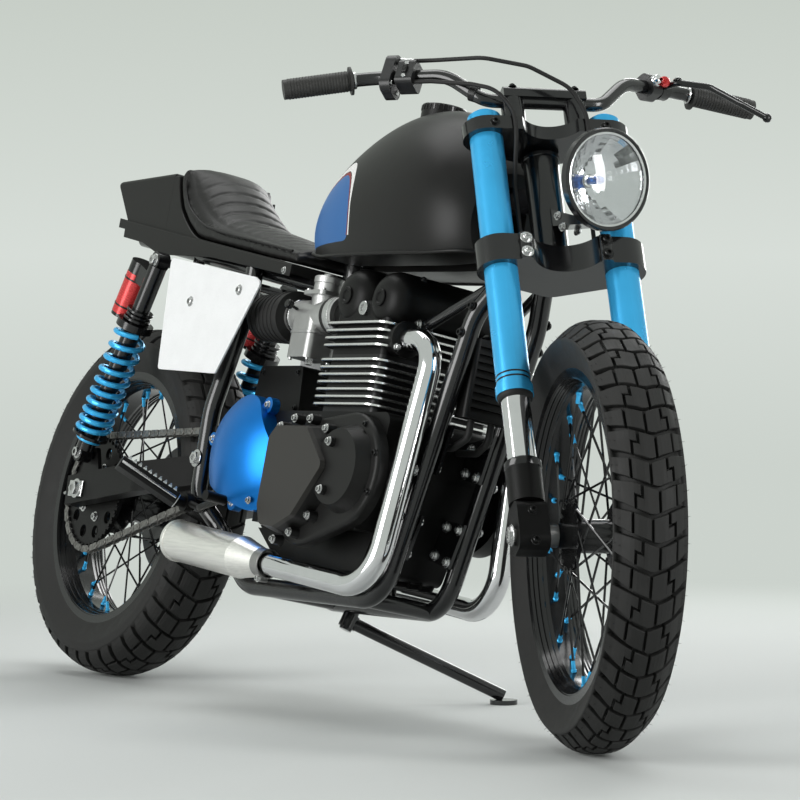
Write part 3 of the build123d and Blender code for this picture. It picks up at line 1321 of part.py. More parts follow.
with BuildPart() as tail_unit:
    with BuildSketch(side_plane(TAIL_HALF)):
        with BuildLine():
            Polyline(
                (TAIL_FOOT_X, tray_height(TAIL_FOOT_X) - TRAY_DEPTH / 2),
                (TAIL_TOP_FRONT[0], tray_height(TAIL_TOP_FRONT[0]) - TRAY_DEPTH / 2),
                TAIL_TOP_FRONT,
                TAIL_TOP_REAR,
                close=True,
            )
        make_face()
    extrude(amount=2 * TAIL_HALF)
    fillet(tail_unit.faces().sort_by(Axis.Z)[-1].edges(), TAIL_EDGE)
    with BuildSketch(side_plane(TRAY_HALF)):
        with BuildLine():
            Polyline(
                (TRAY_REAR.X, TRAY_REAR.Z),
                (TRAY_FRONT.X, TRAY_FRONT.Z),
                (TRAY_FRONT.X, tray_height(TRAY_FRONT.X)),
                (TRAY_REAR.X, tray_height(TRAY_REAR.X)),
                close=True,
            )
        make_face()
    extrude(amount=2 * TRAY_HALF)
finish(tail_unit, "tail_unit", STANCE)

# Seat pad: side outline with a raised rear, X and Z, standing on the tray
PAD_GAP = 0.4
PAD_REAR = TAIL_TOP_FRONT[0] + PAD_GAP
PAD_TOP = ((PAD_REAR, 974), (236, 964), (356, 922), (446, 864), (594, 797))
PAD_BENDS = (16, 160, 160, 160, 14)
PAD_HALF = 99.0
PAD_ROLL = 22.0
PAD_LOW_REAR = (PAD_REAR, tray_height(PAD_REAR) + PAD_GAP)
PAD_LOW_FRONT = (TRAY_FRONT.X, tray_height(TRAY_FRONT.X) + PAD_GAP)
with BuildPart() as seat_pad:
    with BuildSketch(side_plane(PAD_HALF)):
        with BuildLine():
            FilletPolyline(PAD_LOW_REAR, *PAD_TOP, PAD_LOW_FRONT, radius=list(PAD_BENDS))
            Line(PAD_LOW_FRONT, PAD_LOW_REAR)
        make_face()
    extrude(amount=2 * PAD_HALF)
    rolled = seat_pad.edges().filter_by(Axis.Y, reverse=True)
    rolled = rolled.filter_by(lambda edge: (edge @ 0.5).Z > tray_height((edge @ 0.5).X) + 2)
    fillet(rolled.filter_by(lambda edge: abs((edge % 0.5).Z) < 0.99), PAD_ROLL)
finish(seat_pad, "seat_pad", STANCE)

# Side number plates on one standoff each from the frame upright
PLATE_Y = 150.0
PLATE_SHEET = 3.0
PLATE_CORNERS = ((262, 559), (476, 550), (581, 712), (560, 722), (236, 768))
STANDOFF_X = PIVOT_X
STANDOFF_Z = 715.0
STANDOFF_RADIUS = 8.0
STANDOFF_ROOT = UPRIGHT_Y + TUBE_RADIUS + SEAT_GAP
with BuildPart() as number_plates:
    for side in (1, -1):
        with BuildSketch(side_plane(side * PLATE_Y + PLATE_SHEET / 2)) as plate_face:
            with BuildLine():
                Polyline(*PLATE_CORNERS, close=True)
            make_face()
            fillet(plate_face.vertices(), 9)
        extrude(amount=PLATE_SHEET)
        standoff = [(STANDOFF_X, STANDOFF_ROOT, STANDOFF_Z), (STANDOFF_X, PLATE_Y, STANDOFF_Z)]
        add(tube(across(standoff, side), STANDOFF_RADIUS))
finish(number_plates, "number_plates", STANCE)

# Footpegs and the two foot levers that turn on their stems
PEG_STEM_RADIUS = 10.0
PEG_START = PEG_MOUNT.Y + SEAT_GAP
PEG_INNER = 176.0
PEG_LENGTH = 118.0
PEG_WIDTH = 40.0
PEG_THICKNESS = 22.0
PEG_BACK = -0.35
PEG_OUT = 0.85
PEG_UP = 0.40
with BuildPart() as footpegs:
    for side in (1, -1):
        stem = [(PEG_MOUNT.X, PEG_START, PEG_MOUNT.Z), (PEG_MOUNT.X, PEG_INNER, PEG_MOUNT.Z)]
        add(tube(across(stem, side), PEG_STEM_RADIUS))
        peg_root = Vector(PEG_MOUNT.X, side * PEG_INNER, PEG_MOUNT.Z)
        peg_way = Vector(PEG_BACK, side * PEG_OUT, PEG_UP)
        with BuildSketch(Plane(origin=peg_root, x_dir=(1, 0, 0), z_dir=peg_way)):
            RectangleRounded(PEG_WIDTH, PEG_THICKNESS, 5)
        extrude(amount=PEG_LENGTH)
finish(footpegs, "footpegs", STANCE)

LEVER_EYE_INNER = 146.0
LEVER_EYE_WIDTH = 14.0
LEVER_EYE_RADIUS = 17.0
LEVER_TOE = ((520, 153, 308), (580, 190, 306), (676, 202, 322))
with BuildPart() as foot_levers:
    for side in (1, -1):
        eye = [(PEG_MOUNT.X, LEVER_EYE_INNER, PEG_MOUNT.Z)]
        eye.append((PEG_MOUNT.X, LEVER_EYE_INNER + LEVER_EYE_WIDTH, PEG_MOUNT.Z))
        add(tube(across(eye, side), LEVER_EYE_RADIUS))
        add(tube(across([(PEG_MOUNT.X + 6, 153, PEG_MOUNT.Z), *LEVER_TOE], side), 6, (20, 40)))
        add(tube(across([(670, 196, 320), (674, 236, 322)], side), 9))
    with BuildSketch(side_plane(200)):
        with Locations((PEG_MOUNT.X, PEG_MOUNT.Z)):
            Circle(PEG_STEM_RADIUS + SEAT_GAP)
    extrude(amount=400, mode=Mode.SUBTRACT)
finish(foot_levers, "foot_levers", STANCE)

# Headlight: a bowl on a bracket from the head tube, closed by a domed lens
LAMP_X = 1340.0
LAMP_Z = 892.0
LAMP_RADIUS = 80.0
LENS_RADIUS = 73.5
LENS_DOME = 20.0
# Bowl outside and inside: distance behind the lens plane, radius
BOWL_OUTSIDE = ((0, LAMP_RADIUS), (12, LAMP_RADIUS), (38, 60), (54, 36), (60, 0))
BOWL_INSIDE = ((56, 0), (51, 33), (35, 56), (10, LENS_RADIUS + SEAT_GAP), (0, LENS_RADIUS + SEAT_GAP))
LAMP_PLANE = Plane(origin=(LAMP_X, 0, LAMP_Z), x_dir=(-1, 0, 0), z_dir=(0, 1, 0))
LAMP_AXIS = Axis((LAMP_X, 0, LAMP_Z), (1, 0, 0))
with BuildPart() as headlight_shell:
    with BuildSketch(LAMP_PLANE):
        with BuildLine():
            Polyline(*BOWL_OUTSIDE, *BOWL_INSIDE, close=True)
        make_face()
    revolve(axis=LAMP_AXIS)
    with BuildSketch(side_plane(14)):
        with BuildLine():
            Polyline((1200, 818), (1312, 818), (1312, 828), (1200, 850), close=True)
        make_face()
    extrude(amount=28)
    with BuildSketch(HEAD_PLANE.offset(-60)):
        Circle(HEAD_RADIUS + SEAT_GAP)
    extrude(amount=260, mode=Mode.SUBTRACT)
finish(headlight_shell, "headlight_shell", STANCE)

dome_radius = (LENS_RADIUS**2 + LENS_DOME**2) / (2 * LENS_DOME)
dome_half = asin(LENS_RADIUS / dome_radius) / 2
lens_middle = (dome_radius - LENS_DOME - dome_radius * cos(dome_half), dome_radius * sin(dome_half))
with BuildPart() as headlight_lens:
    with BuildSketch(LAMP_PLANE):
        with BuildLine():
            Line((6, 0), (6, LENS_RADIUS))
            Line((6, LENS_RADIUS), (0, LENS_RADIUS))
            ThreePointArc((0, LENS_RADIUS), lens_middle, (-LENS_DOME, 0))
            Line((-LENS_DOME, 0), (6, 0))
        make_face()
    revolve(axis=LAMP_AXIS)
finish(headlight_lens, "headlight_lens", STANCE)
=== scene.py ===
import json
import math
import random

import bmesh
import bpy
from mathutils import Matrix, Vector


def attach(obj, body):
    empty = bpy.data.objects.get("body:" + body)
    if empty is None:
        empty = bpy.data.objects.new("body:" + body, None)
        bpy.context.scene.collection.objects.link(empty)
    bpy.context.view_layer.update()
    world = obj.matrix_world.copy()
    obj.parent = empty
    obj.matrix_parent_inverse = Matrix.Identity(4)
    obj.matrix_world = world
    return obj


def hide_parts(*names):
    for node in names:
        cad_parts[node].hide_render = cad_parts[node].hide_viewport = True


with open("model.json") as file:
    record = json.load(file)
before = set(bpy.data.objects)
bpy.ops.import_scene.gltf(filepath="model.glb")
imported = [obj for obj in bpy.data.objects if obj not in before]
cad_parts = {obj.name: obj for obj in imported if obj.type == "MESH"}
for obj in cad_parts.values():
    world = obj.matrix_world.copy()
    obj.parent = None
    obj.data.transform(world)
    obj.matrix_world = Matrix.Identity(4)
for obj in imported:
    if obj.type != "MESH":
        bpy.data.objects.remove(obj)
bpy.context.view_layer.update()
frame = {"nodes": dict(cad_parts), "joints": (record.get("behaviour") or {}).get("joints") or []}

MM = 0.001
NODES = frame["nodes"]
scene = bpy.context.scene
random.seed(7)

# Sizes shared with the solids, in millimetres
WHEELBASE = 1490.0
RAKE = math.radians(26.0)
FORK_OFFSET = 43.0
LEAN = math.radians(12.0)
STEER_TURN = math.radians(-23.0)
REAR_RADIUS = 333.0
FRONT_RADIUS = 327.0
TRAIL = (FRONT_RADIUS * math.sin(RAKE) - FORK_OFFSET) / math.cos(RAKE)
AXLE_HEIGHT = FRONT_RADIUS * math.cos(RAKE) + TRAIL * math.sin(RAKE)

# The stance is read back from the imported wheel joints
joints = {j["name"]: j for j in frame["joints"]}
rear_hub_at = Vector(joints["rear_wheel_spin"]["pos_m"]) / MM
upright = REAR_RADIUS * math.cos(LEAN)
PITCH = math.asin((rear_hub_at.x + WHEELBASE / 2) / upright)
LIFT = rear_hub_at.z - upright * math.cos(PITCH)
TO_METRES = Matrix.Scale(MM, 4)
STANCE = (
    TO_METRES
    @ Matrix.Translation((-WHEELBASE / 2, 0, LIFT))
    @ Matrix.Rotation(PITCH, 4, "Y")
    @ Matrix.Rotation(-LEAN, 4, "X")
)
FORK = (
    STANCE
    @ Matrix.Translation((WHEELBASE + TRAIL, 0, 0))
    @ Matrix.Rotation(-RAKE, 4, "Y")
    @ Matrix.Rotation(STEER_TURN, 4, "Z")
)
AXLE_TURN = Matrix.Rotation(math.radians(-90), 4, "X")
FRONT_WHEEL = FORK @ Matrix.Translation((FORK_OFFSET, 0, AXLE_HEIGHT)) @ AXLE_TURN
REAR_WHEEL = STANCE @ Matrix.Translation((0, 0, REAR_RADIUS)) @ AXLE_TURN


# Materials
def principled(name):
    """A new material with its principled shader and the tools to wire it."""
    material = bpy.data.materials.new(name)
    material.use_nodes = True
    tree = material.node_tree
    shader = tree.nodes["Principled BSDF"]
    return material, tree, shader


def noise(tree, scale, detail=4.0, rough=0.55, stretch=None):
    """A noise texture in object space, in metres."""
    place = tree.nodes.new("ShaderNodeTexCoord")
    texture = tree.nodes.new("ShaderNodeTexNoise")
    texture.inputs["Scale"].default_value = scale
    texture.inputs["Detail"].default_value = detail
    texture.inputs["Roughness"].default_value = rough
    if stretch:
        mapping = tree.nodes.new("ShaderNodeMapping")
        mapping.inputs["Scale"].default_value = stretch
        tree.links.new(place.outputs["Object"], mapping.inputs["Vector"])
        tree.links.new(mapping.outputs["Vector"], texture.inputs["Vector"])
    else:
        tree.links.new(place.outputs["Object"], texture.inputs["Vector"])
    return texture


def ramp(tree, source, stops):
    """A colour ramp on a value: stops are (position, colour)."""
    node = tree.nodes.new("ShaderNodeValToRGB")
    elements = node.color_ramp.elements
    while len(elements) < len(stops):
        elements.new(0.5)
    for element, (position, colour) in zip(elements, stops):
        element.position = position
        element.color = (*colour, 1.0)
    tree.links.new(source, node.inputs["Fac"])
    return node


def spread(tree, source, low, high):
    """Map a value from about 0.3..0.7 to low..high."""
    node = tree.nodes.new("ShaderNodeMapRange")
    node.inputs["From Min"].default_value = 0.3
    node.inputs["From Max"].default_value = 0.7
    node.inputs["To Min"].default_value = low
    node.inputs["To Max"].default_value = high
    tree.links.new(source, node.inputs["Value"])
    return node


def bump(tree, shader, source, strength, distance):
    """Raise the surface by a texture value."""
    node = tree.nodes.new("ShaderNodeBump")
    node.inputs["Strength"].default_value = strength
    node.inputs["Distance"].default_value = distance
    tree.links.new(source, node.inputs["Height"])
    tree.links.new(node.outputs["Normal"], shader.inputs["Normal"])
    return node


def surface(name, colour, rough, metal=0.0, vary=0.12, patch=14.0, grain=900.0, relief=0.0, coat=0.0,
            rough_vary=0.06, stretch=None, shine=0.5):
    """A finish with patchy colour, uneven roughness and a fine grain."""
    material, tree, shader = principled(name)
    clouds = noise(tree, patch, stretch=stretch)
    dark = tuple(max(0.0, c * (1 - vary)) for c in colour)
    light = tuple(min(1.0, c * (1 + vary)) for c in colour)
    tint = ramp(tree, clouds.outputs["Fac"], ((0.35, dark), (0.65, light)))
    tree.links.new(tint.outputs["Color"], shader.inputs["Base Color"])
    fine = noise(tree, grain, detail=3.0, stretch=stretch)
    gloss = spread(tree, fine.outputs["Fac"], max(0.02, rough - rough_vary), min(1.0, rough + rough_vary))
    tree.links.new(gloss.outputs["Result"], shader.inputs["Roughness"])
    shader.inputs["Metallic"].default_value = metal
    shader.inputs["Specular IOR Level"].default_value = shine
    if coat:
        shader.inputs["Coat Weight"].default_value = coat
        shader.inputs["Coat Roughness"].default_value = 0.08
    if relief:
        bump(tree, shader, fine.outputs["Fac"], 0.6, relief)
    return material


# Colour, roughness and what else departs from a plain finish
FINISH_TABLE = {
    "frame_black": ((0.006, 0.006, 0.0065), 0.2, dict(coat=0.35, grain=700, relief=0.00003)),
    "engine_black": ((0.0046, 0.0045, 0.0044), 0.4, dict(grain=2600, relief=0.00012, shine=0.16)),
    "fin_metal": ((0.010, 0.010, 0.0102), 0.4, dict(grain=1800, relief=0.0001, shine=0.3)),
    "fin_edge": ((0.80, 0.80, 0.79), 0.26, dict(metal=1.0, vary=0.06, grain=400, stretch=(1, 1, 30))),
    "tank_black": ((0.009, 0.0088, 0.0083), 0.38, dict(vary=0.05, grain=5000, relief=0.00001, shine=0.2)),
    "blue_metal": ((0.05, 0.47, 0.88), 0.26, dict(metal=0.4, vary=0.03, grain=40, rough_vary=0.015)),
    "blue_paint": ((0.003, 0.17, 0.56), 0.34, dict(metal=0.75, vary=0.04, grain=60, rough_vary=0.02)),
    "black_metal": ((0.006, 0.006, 0.0064), 0.17, dict(grain=300, rough_vary=0.03)),
    "steel": ((0.36, 0.355, 0.35), 0.34, dict(metal=1.0, grain=600)),
    "chain_steel": ((0.2, 0.195, 0.185), 0.42, dict(metal=0.95, vary=0.35, patch=160, grain=900)),
    "polished": ((0.72, 0.72, 0.73), 0.09, dict(metal=1.0, vary=0.04, grain=60, rough_vary=0.03)),
    "muffler_steel": ((0.90, 0.885, 0.85), 0.34, dict(metal=1.0, vary=0.06, grain=300, stretch=(1, 24, 24))),
    "cast_alloy": ((0.46, 0.46, 0.455), 0.4, dict(metal=0.9, vary=0.16, grain=2200, relief=0.00012)),
    "bolt_steel": ((0.6, 0.6, 0.6), 0.24, dict(metal=1.0, grain=500)),
    "bolt_black": ((0.008, 0.008, 0.008), 0.28, dict(metal=0.3, grain=600)),
    "rubber": ((0.012, 0.0118, 0.0115), 0.6, dict(vary=0.2, grain=1800, relief=0.00008, shine=0.3)),
    "grip_rubber": ((0.021, 0.0205, 0.019), 0.58, dict(vary=0.15, grain=1800, relief=0.00008)),
    "switch_plastic": ((0.008, 0.008, 0.0085), 0.36, dict(grain=3000, relief=0.00004)),
    "red_metal": ((0.6, 0.045, 0.045), 0.26, dict(metal=0.3, vary=0.06, grain=400)),
    "plate_white": ((0.82, 0.83, 0.83), 0.32, dict(vary=0.02, patch=30, grain=900, rough_vary=0.08)),
}
FINISH = {name: surface(name, colour, rough, **more) for name, (colour, rough, more) in FINISH_TABLE.items()}


def tyre_rubber():
    """Road rubber: dull, with pale dusty scuffs and a fine moulded grain."""
    material, tree, shader = principled("tyre_rubber")
    scuff = noise(tree, 22.0, detail=8.0, rough=0.7)
    tint = ramp(tree, scuff.outputs["Fac"], ((0.3, (0.0095, 0.0095, 0.009)), (0.55, (0.0145, 0.0143, 0.0137)),
                                             (0.8, (0.027, 0.0265, 0.025))))
    tree.links.new(tint.outputs["Color"], shader.inputs["Base Color"])
    fine = noise(tree, 1400.0)
    gloss = spread(tree, scuff.outputs["Fac"], 0.52, 0.74)
    tree.links.new(gloss.outputs["Result"], shader.inputs["Roughness"])
    shader.inputs["Specular IOR Level"].default_value = 0.3
    bump(tree, shader, fine.outputs["Fac"], 0.5, 0.00015)
    return material


FINISH["tyre"] = tyre_rubber()


def clear_glass():
    """The headlight's clear glass, with a trace of unevenness."""
    material, tree, shader = principled("lamp_glass")
    shader.inputs["Base Color"].default_value = (0.97, 0.985, 0.99, 1)
    shader.inputs["Transmission Weight"].default_value = 1.0
    shader.inputs["IOR"].default_value = 1.46
    wave = noise(tree, 40.0)
    gloss = spread(tree, wave.outputs["Fac"], 0.0, 0.03)
    tree.links.new(gloss.outputs["Result"], shader.inputs["Roughness"])
    return material


FINISH["glass"] = clear_glass()


def bulb_glass():
    """The bulb's blue-tinted glass."""
    material, tree, shader = principled("bulb_blue")
    wave = noise(tree, 60.0)
    tint = ramp(tree, wave.outputs["Fac"], ((0.3, (0.02, 0.12, 0.55)), (0.7, (0.04, 0.2, 0.7))))
    tree.links.new(tint.outputs["Color"], shader.inputs["Base Color"])
    shader.inputs["Roughness"].default_value = 0.08
    shader.inputs["Transmission Weight"].default_value = 0.4
    return material


FINISH["bulb_blue"] = bulb_glass()


def paint(node, finish):
    """Give a solid of the frame this finish."""
    mesh = NODES[node].data
    mesh.materials.clear()
    mesh.materials.append(FINISH[finish])


NODE_FINISH = {
    "frame_black": "frame_backbone cradle_tubes subframe engine_plates side_stand headlight_shell "
                   "lower_clamp upper_clamp handlebar bar_clamp",
    "engine_black": "crankcase cylinder_head alternator_cover swingarm axle_feet rear_caliper foot_levers "
                    "footpegs oil_cooler front_sprocket rear_sprocket electrics_box",
    "fin_metal": "cylinder_block",
    "tank_black": "tail_unit filler_cap",
    "blue_metal": "fork_tubes shock_springs",
    "blue_paint": "sprocket_cover",
    "black_metal": "front_rim rear_rim front_spokes rear_spokes front_hub rear_hub shock_absorbers "
                   "clutch_lever",
    "steel": "rear_axle front_axle rear_disc",
    "chain_steel": "drive_chain",
    "polished": "stanchions exhaust_headers",
    "muffler_steel": "mufflers",
    "cast_alloy": "carburettors",
    "tyre": "front_tyre rear_tyre",
    "rubber": "oil_lines control_cables air_filters seat_pad",
    "grip_rubber": "grips",
    "switch_plastic": "bar_controls",
    "plate_white": "number_plates",
    "glass": "headlight_lens",
}
for finish_name, node_names in NODE_FINISH.items():
    for node_name in node_names.split():
        paint(node_name, finish_name)


# Mesh tools
def make_object(name, mesh, finish, body, place=None, smooth=True):
    """A new piece from a mesh in its own millimetre frame, set in the shared frame and riding a body."""
    if place is not None:
        mesh.transform(place)
    obj = bpy.data.objects.new(name, mesh)
    scene.collection.objects.link(obj)
    mesh.materials.append(FINISH[finish] if isinstance(finish, str) else finish)
    if smooth:
        mesh.shade_smooth()
    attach(obj, body)
    return obj


def from_data(name, verts, faces):
    """A mesh from plain lists."""
    mesh = bpy.data.meshes.new(name)
    mesh.from_pydata([tuple(v) for v in verts], [], faces)
    mesh.update()
    return mesh


def face_out(mesh):
    """Turn all faces outwards."""
    bm = bmesh.new()
    bm.from_mesh(mesh)
    bmesh.ops.recalc_face_normals(bm, faces=bm.faces)
    bm.to_mesh(mesh)
    bm.free()


def bridged(rows, n, wrap=False):
    """Faces between rows of n points, each row a closed loop."""
    faces = []
    for i in range(rows if wrap else rows - 1):
        a = i * n
        b = (i + 1) % rows * n
        for k in range(n):
            j = (k + 1) % n
            faces.append((a + k, a + j, b + j, b + k))
    return faces


def curve_through(points, steps=8, closed=False):
    """A smooth line through points."""
    pts = [Vector(p) for p in points]
    n = len(pts)
    out = []
    last = n if closed else n - 1
    for i in range(last):
        if closed:
            p0, p1, p2, p3 = pts[i - 1], pts[i], pts[(i + 1) % n], pts[(i + 2) % n]
        else:
            p0, p1, p2, p3 = pts[max(i - 1, 0)], pts[i], pts[i + 1], pts[min(i + 2, n - 1)]
        for k in range(steps):
            t = k / steps
            out.append(0.5 * (2 * p1 + (p2 - p0) * t + (2 * p0 - 5 * p1 + 4 * p2 - p3) * t * t
                              + (3 * p1 - p0 - 3 * p2 + p3) * t ** 3))
    if not closed:
        out.append(pts[-1])
    return out


def even_points(dense, count, spans):
    """Points at even steps along a line of short pieces, and its length."""
    lengths = [0.0]
    for a, b in zip(dense, dense[1:]):
        lengths.append(lengths[-1] + (b - a).length)
    out = []
    j = 0
    for k in range(count):
        target = lengths[-1] * k / spans
        while j < len(lengths) - 2 and lengths[j + 1] < target:
            j += 1
        span = lengths[j + 1] - lengths[j]
        t = (target - lengths[j]) / span if span else 0.0
        out.append(dense[j].lerp(dense[j + 1], t))
    return out, lengths[-1]


def sharp_by_angle(obj, degrees=35):
    """Keep crisp edges on a smooth-shaded piece."""
    mesh = obj.data
    bm = bmesh.new()
    bm.from_mesh(mesh)
    limit = math.radians(degrees)
    for edge in bm.edges:
        if len(edge.link_faces) == 2 and edge.calc_face_angle(0.0) > limit:
            edge.smooth = False
    bm.to_mesh(mesh)
    bm.free()


# Tyres with moulded blocks
def tyre_profile(radius, half_width, rim_radius, rim_half):
    """Half section of the tyre as (radius, half width) from bead to crown."""
    return (
        (rim_radius - 10.7, rim_half - 6.3),
        (rim_radius + 0.3, rim_half - 0.3),
        (rim_radius + 40, half_width),
        (radius - 22, half_width - 7),
        (radius - 6, half_width * 0.56),
        (radius, half_width * 0.22),
    )


def smooth_half(points, count):
    """Points evenly spaced on a curve through a half section and its mirror."""
    whole = list(points) + [(r, -w) for r, w in reversed(points)]
    return even_points(curve_through(whole, SECTION_STEPS), count, count - 1)


# One row of blocks: stations across the tread from -1 to 1, each with its start and end along the row
TREAD_ROW = (
    ((-1.06, 0.06, 0.74), (-0.60, 0.00, 0.83)),
    ((-0.53, 0.00, 0.84), (-0.13, 0.00, 0.84)),
    ((-0.055, 0.00, 0.84), (0.285, 0.00, 0.84), (0.29, 0.44, 0.84), (0.45, 0.44, 0.84)),
    ((0.36, 0.00, 0.36), (0.52, 0.00, 0.36), (0.525, 0.00, 0.84), (1.06, 0.06, 0.74)),
)
SECTION_STEPS = 24
SECTION_POINTS = 241
TURN_STEPS = 144
GROOVE = 8.5
BLOCK_BEVEL = 0.9
CHEVRON = 0.58
APEX = 0.085
SKIN = 0.6
HAIR_PLACES = (0.9, 1.02)
HAIR_LENGTH = 5.0
HAIR_RADIUS = 0.45
HAIR_ALONG = 0.42
HAIR_STRAY = 0.06
HAIR_TURNS = (0.0, 2.094, 4.189)


def make_tyre(name, profile, rows, tread_share, place, body, node):
    """A tyre carcass with rows of stepped blocks that mirror from row to row."""
    count = SECTION_POINTS
    outer, girth = smooth_half(profile, count)
    middle = (count - 1) / 2
    normals = []
    for i in range(count):
        along = outer[min(i + 1, count - 1)] - outer[max(i - 1, 0)]
        normals.append(Vector((-along.y, along.x)).normalized() * -1)

    def at(v, depth):
        """Section point at a place across the tread from -1 to 1, sunk by a depth."""
        i = middle - v * tread_share * middle
        low = int(min(max(math.floor(i), 0), count - 2))
        t = i - low
        point = outer[low].lerp(outer[low + 1], t)
        normal = normals[low].lerp(normals[low + 1], t).normalized()
        if normal.x < 0:
            normal = -normal
        point = point - normal * (depth + SKIN)
        return Vector((min(point.x, profile[-1][0] - SKIN), point.y))

    carcass = []
    for i in range(0, count, 3):
        v = (middle - i) / middle / tread_share
        sink = GROOVE * min(1.0, max(0.0, (1.04 - abs(v)) / 0.05))
        carcass.append(at(v, sink))
    lining = [(profile[0][0] + 8, -profile[0][1] + 4), (profile[0][0] + 8, profile[0][1] - 4)]
    ring = [(p.x, p.y) for p in carcass] + lining
    verts = []
    for k in range(TURN_STEPS):
        angle = 2 * math.pi * k / TURN_STEPS
        verts += [Vector((r * math.cos(angle), r * math.sin(angle), z)) for r, z in ring]
    faces = bridged(TURN_STEPS, len(ring), wrap=True)
    smooth_faces = len(faces)
    pitch = 2 * math.pi / rows
    half_tread = girth * tread_share / 2

    def on_tread(row, u, v, flip, depth):
        """A point of a row: u along it, v across it, sunk by a depth."""
        slant = CHEVRON * ((1 - u) * abs(v + APEX) + u * abs(v - APEX))
        point = at(v * flip, depth)
        angle = (row + u - slant) * pitch
        return Vector((point.x * math.cos(angle), point.x * math.sin(angle), point.y))

    for row in range(rows):
        flip = 1 if row % 2 else -1
        for block in TREAD_ROW:
            stations = []
            for first, last in zip(block, block[1:]):
                steps = max(1, int(math.ceil((last[0] - first[0]) * 9)))
                for k in range(steps):
                    stations.append(tuple(a + (b - a) * k / steps for a, b in zip(first, last)))
            stations.append(block[-1])
            width = len(stations)
            base = len(verts)
            for depth, bevel in ((GROOVE + 1.0, -0.6), (BLOCK_BEVEL, 0.0), (0.0, BLOCK_BEVEL)):
                inset_u = bevel / (profile[-1][0] * pitch)
                inset_v = bevel / half_tread
                for high in (0, 1):
                    for k, (v, low_u, high_u) in enumerate(stations):
                        if k == 0:
                            v += inset_v
                        if k == width - 1:
                            v -= inset_v
                        u = high_u - inset_u if high else low_u + inset_u
                        verts.append(on_tread(row, u, v, flip, depth))

            def index(level, high, k):
                return base + (level * 2 + high) * width + k

            for k in range(width - 1):
                faces.append((index(2, 0, k), index(2, 0, k + 1), index(2, 1, k + 1), index(2, 1, k)))
            for level in (0, 1):
                for k in range(width - 1):
                    faces.append((index(level, 0, k), index(level, 0, k + 1),
                                  index(level + 1, 0, k + 1), index(level + 1, 0, k)))
                    faces.append((index(level, 1, k + 1), index(level, 1, k),
                                  index(level + 1, 1, k), index(level + 1, 1, k + 1)))
                for k in (0, width - 1):
                    faces.append((index(level, 0, k), index(level, 1, k),
                                  index(level + 1, 1, k), index(level + 1, 0, k)))
        # Moulding hairs on the shoulders, left off where they would reach the floor
        for v in HAIR_PLACES:
            for side in (1, -1):
                root = on_tread(row, HAIR_ALONG, v, side, 0.2)
                stray = random.uniform(-HAIR_STRAY, HAIR_STRAY)
                tip = on_tread(row, HAIR_ALONG + stray, v, side, -HAIR_LENGTH)
                if (place @ tip).z < HAIR_LENGTH * MM:
                    continue
                way = (tip - root).normalized()
                across = way.orthogonal().normalized() * HAIR_RADIUS
                start = len(verts)
                verts += [root + Matrix.Rotation(turn, 3, way) @ across for turn in HAIR_TURNS] + [tip]
                faces += [(start + k, start + (k + 1) % 3, start + 3) for k in range(3)]
    whole = from_data(name, verts, faces)
    face_out(whole)
    tyre = make_object(name, whole, "tyre", body, place, smooth=False)
    for polygon in tyre.data.polygons:
        polygon.use_smooth = polygon.index < smooth_faces
    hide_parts(node)


# Rims: radius and half width; tyres: half width and rows of blocks
FRONT_RIM = (254.0, 40.0)
REAR_RIM = (243.0, 52.0)
TREAD_SHARE = 0.5
front_section = tyre_profile(FRONT_RADIUS, 55.0, *FRONT_RIM)
rear_section = tyre_profile(REAR_RADIUS, 68.0, *REAR_RIM)
make_tyre("front_tread", front_section, 50, TREAD_SHARE, FRONT_WHEEL, "front_wheel", "front_tyre")
make_tyre("rear_tread", rear_section, 44, TREAD_SHARE, REAR_WHEEL, "rear_wheel", "rear_tyre")


# Builders for small fittings
def frame_on(at, axis, turn=None):
    """A placement whose Z runs along an axis from a point."""
    z = Vector(axis).normalized()
    x = Vector(turn) if turn else Vector((1, 0, 0) if abs(z.x) < 0.9 else (0, 0, 1))
    x = (x - z * x.dot(z)).normalized()
    pose = Matrix((x, z.cross(x), z)).transposed().to_4x4()
    pose.translation = Vector(at)
    return pose


def turned_shape(profile, segments):
    """Points and faces of a (radius, height) profile turned about Z; a zero radius is one point."""
    verts = []
    faces = []
    rings = []
    for r, z in profile:
        start = len(verts)
        if r < 1e-6:
            verts.append((0.0, 0.0, z))
            rings.append([start] * segments)
        else:
            for k in range(segments):
                angle = 2 * math.pi * k / segments
                verts.append((r * math.cos(angle), r * math.sin(angle), z))
            rings.append(list(range(start, start + segments)))
    for low, high in zip(rings, rings[1:]):
        for k in range(segments):
            n = (k + 1) % segments
            corner = []
            for i in (low[k], low[n], high[n], high[k]):
                if i not in corner:
                    corner.append(i)
            if len(corner) > 2:
                faces.append(tuple(corner))
    return verts, faces


def swept_shape(path, section, closed=False):
    """Points and faces of a section (x, y) carried along a path without twisting."""
    n = len(path)
    tangents = []
    for i in range(n):
        a = path[i - 1] if closed or i else path[i]
        b = path[(i + 1) % n] if closed or i < n - 1 else path[i]
        tangents.append((b - a).normalized())
    side = tangents[0].orthogonal().normalized()
    verts = []
    m = len(section)
    for i in range(n):
        side = (side - tangents[i] * side.dot(tangents[i])).normalized()
        over = tangents[i].cross(side)
        verts += [path[i] + side * x + over * y for x, y in section]
    faces = bridged(n, m, closed)
    if not closed:
        faces.append(tuple(reversed(range(m))))
        faces.append(tuple(range((n - 1) * m, n * m)))
    return verts, faces


def round_section(radius, sides=10):
    """A round section for a sweep."""
    return [(radius * math.cos(2 * math.pi * k / sides), radius * math.sin(2 * math.pi * k / sides))
            for k in range(sides)]


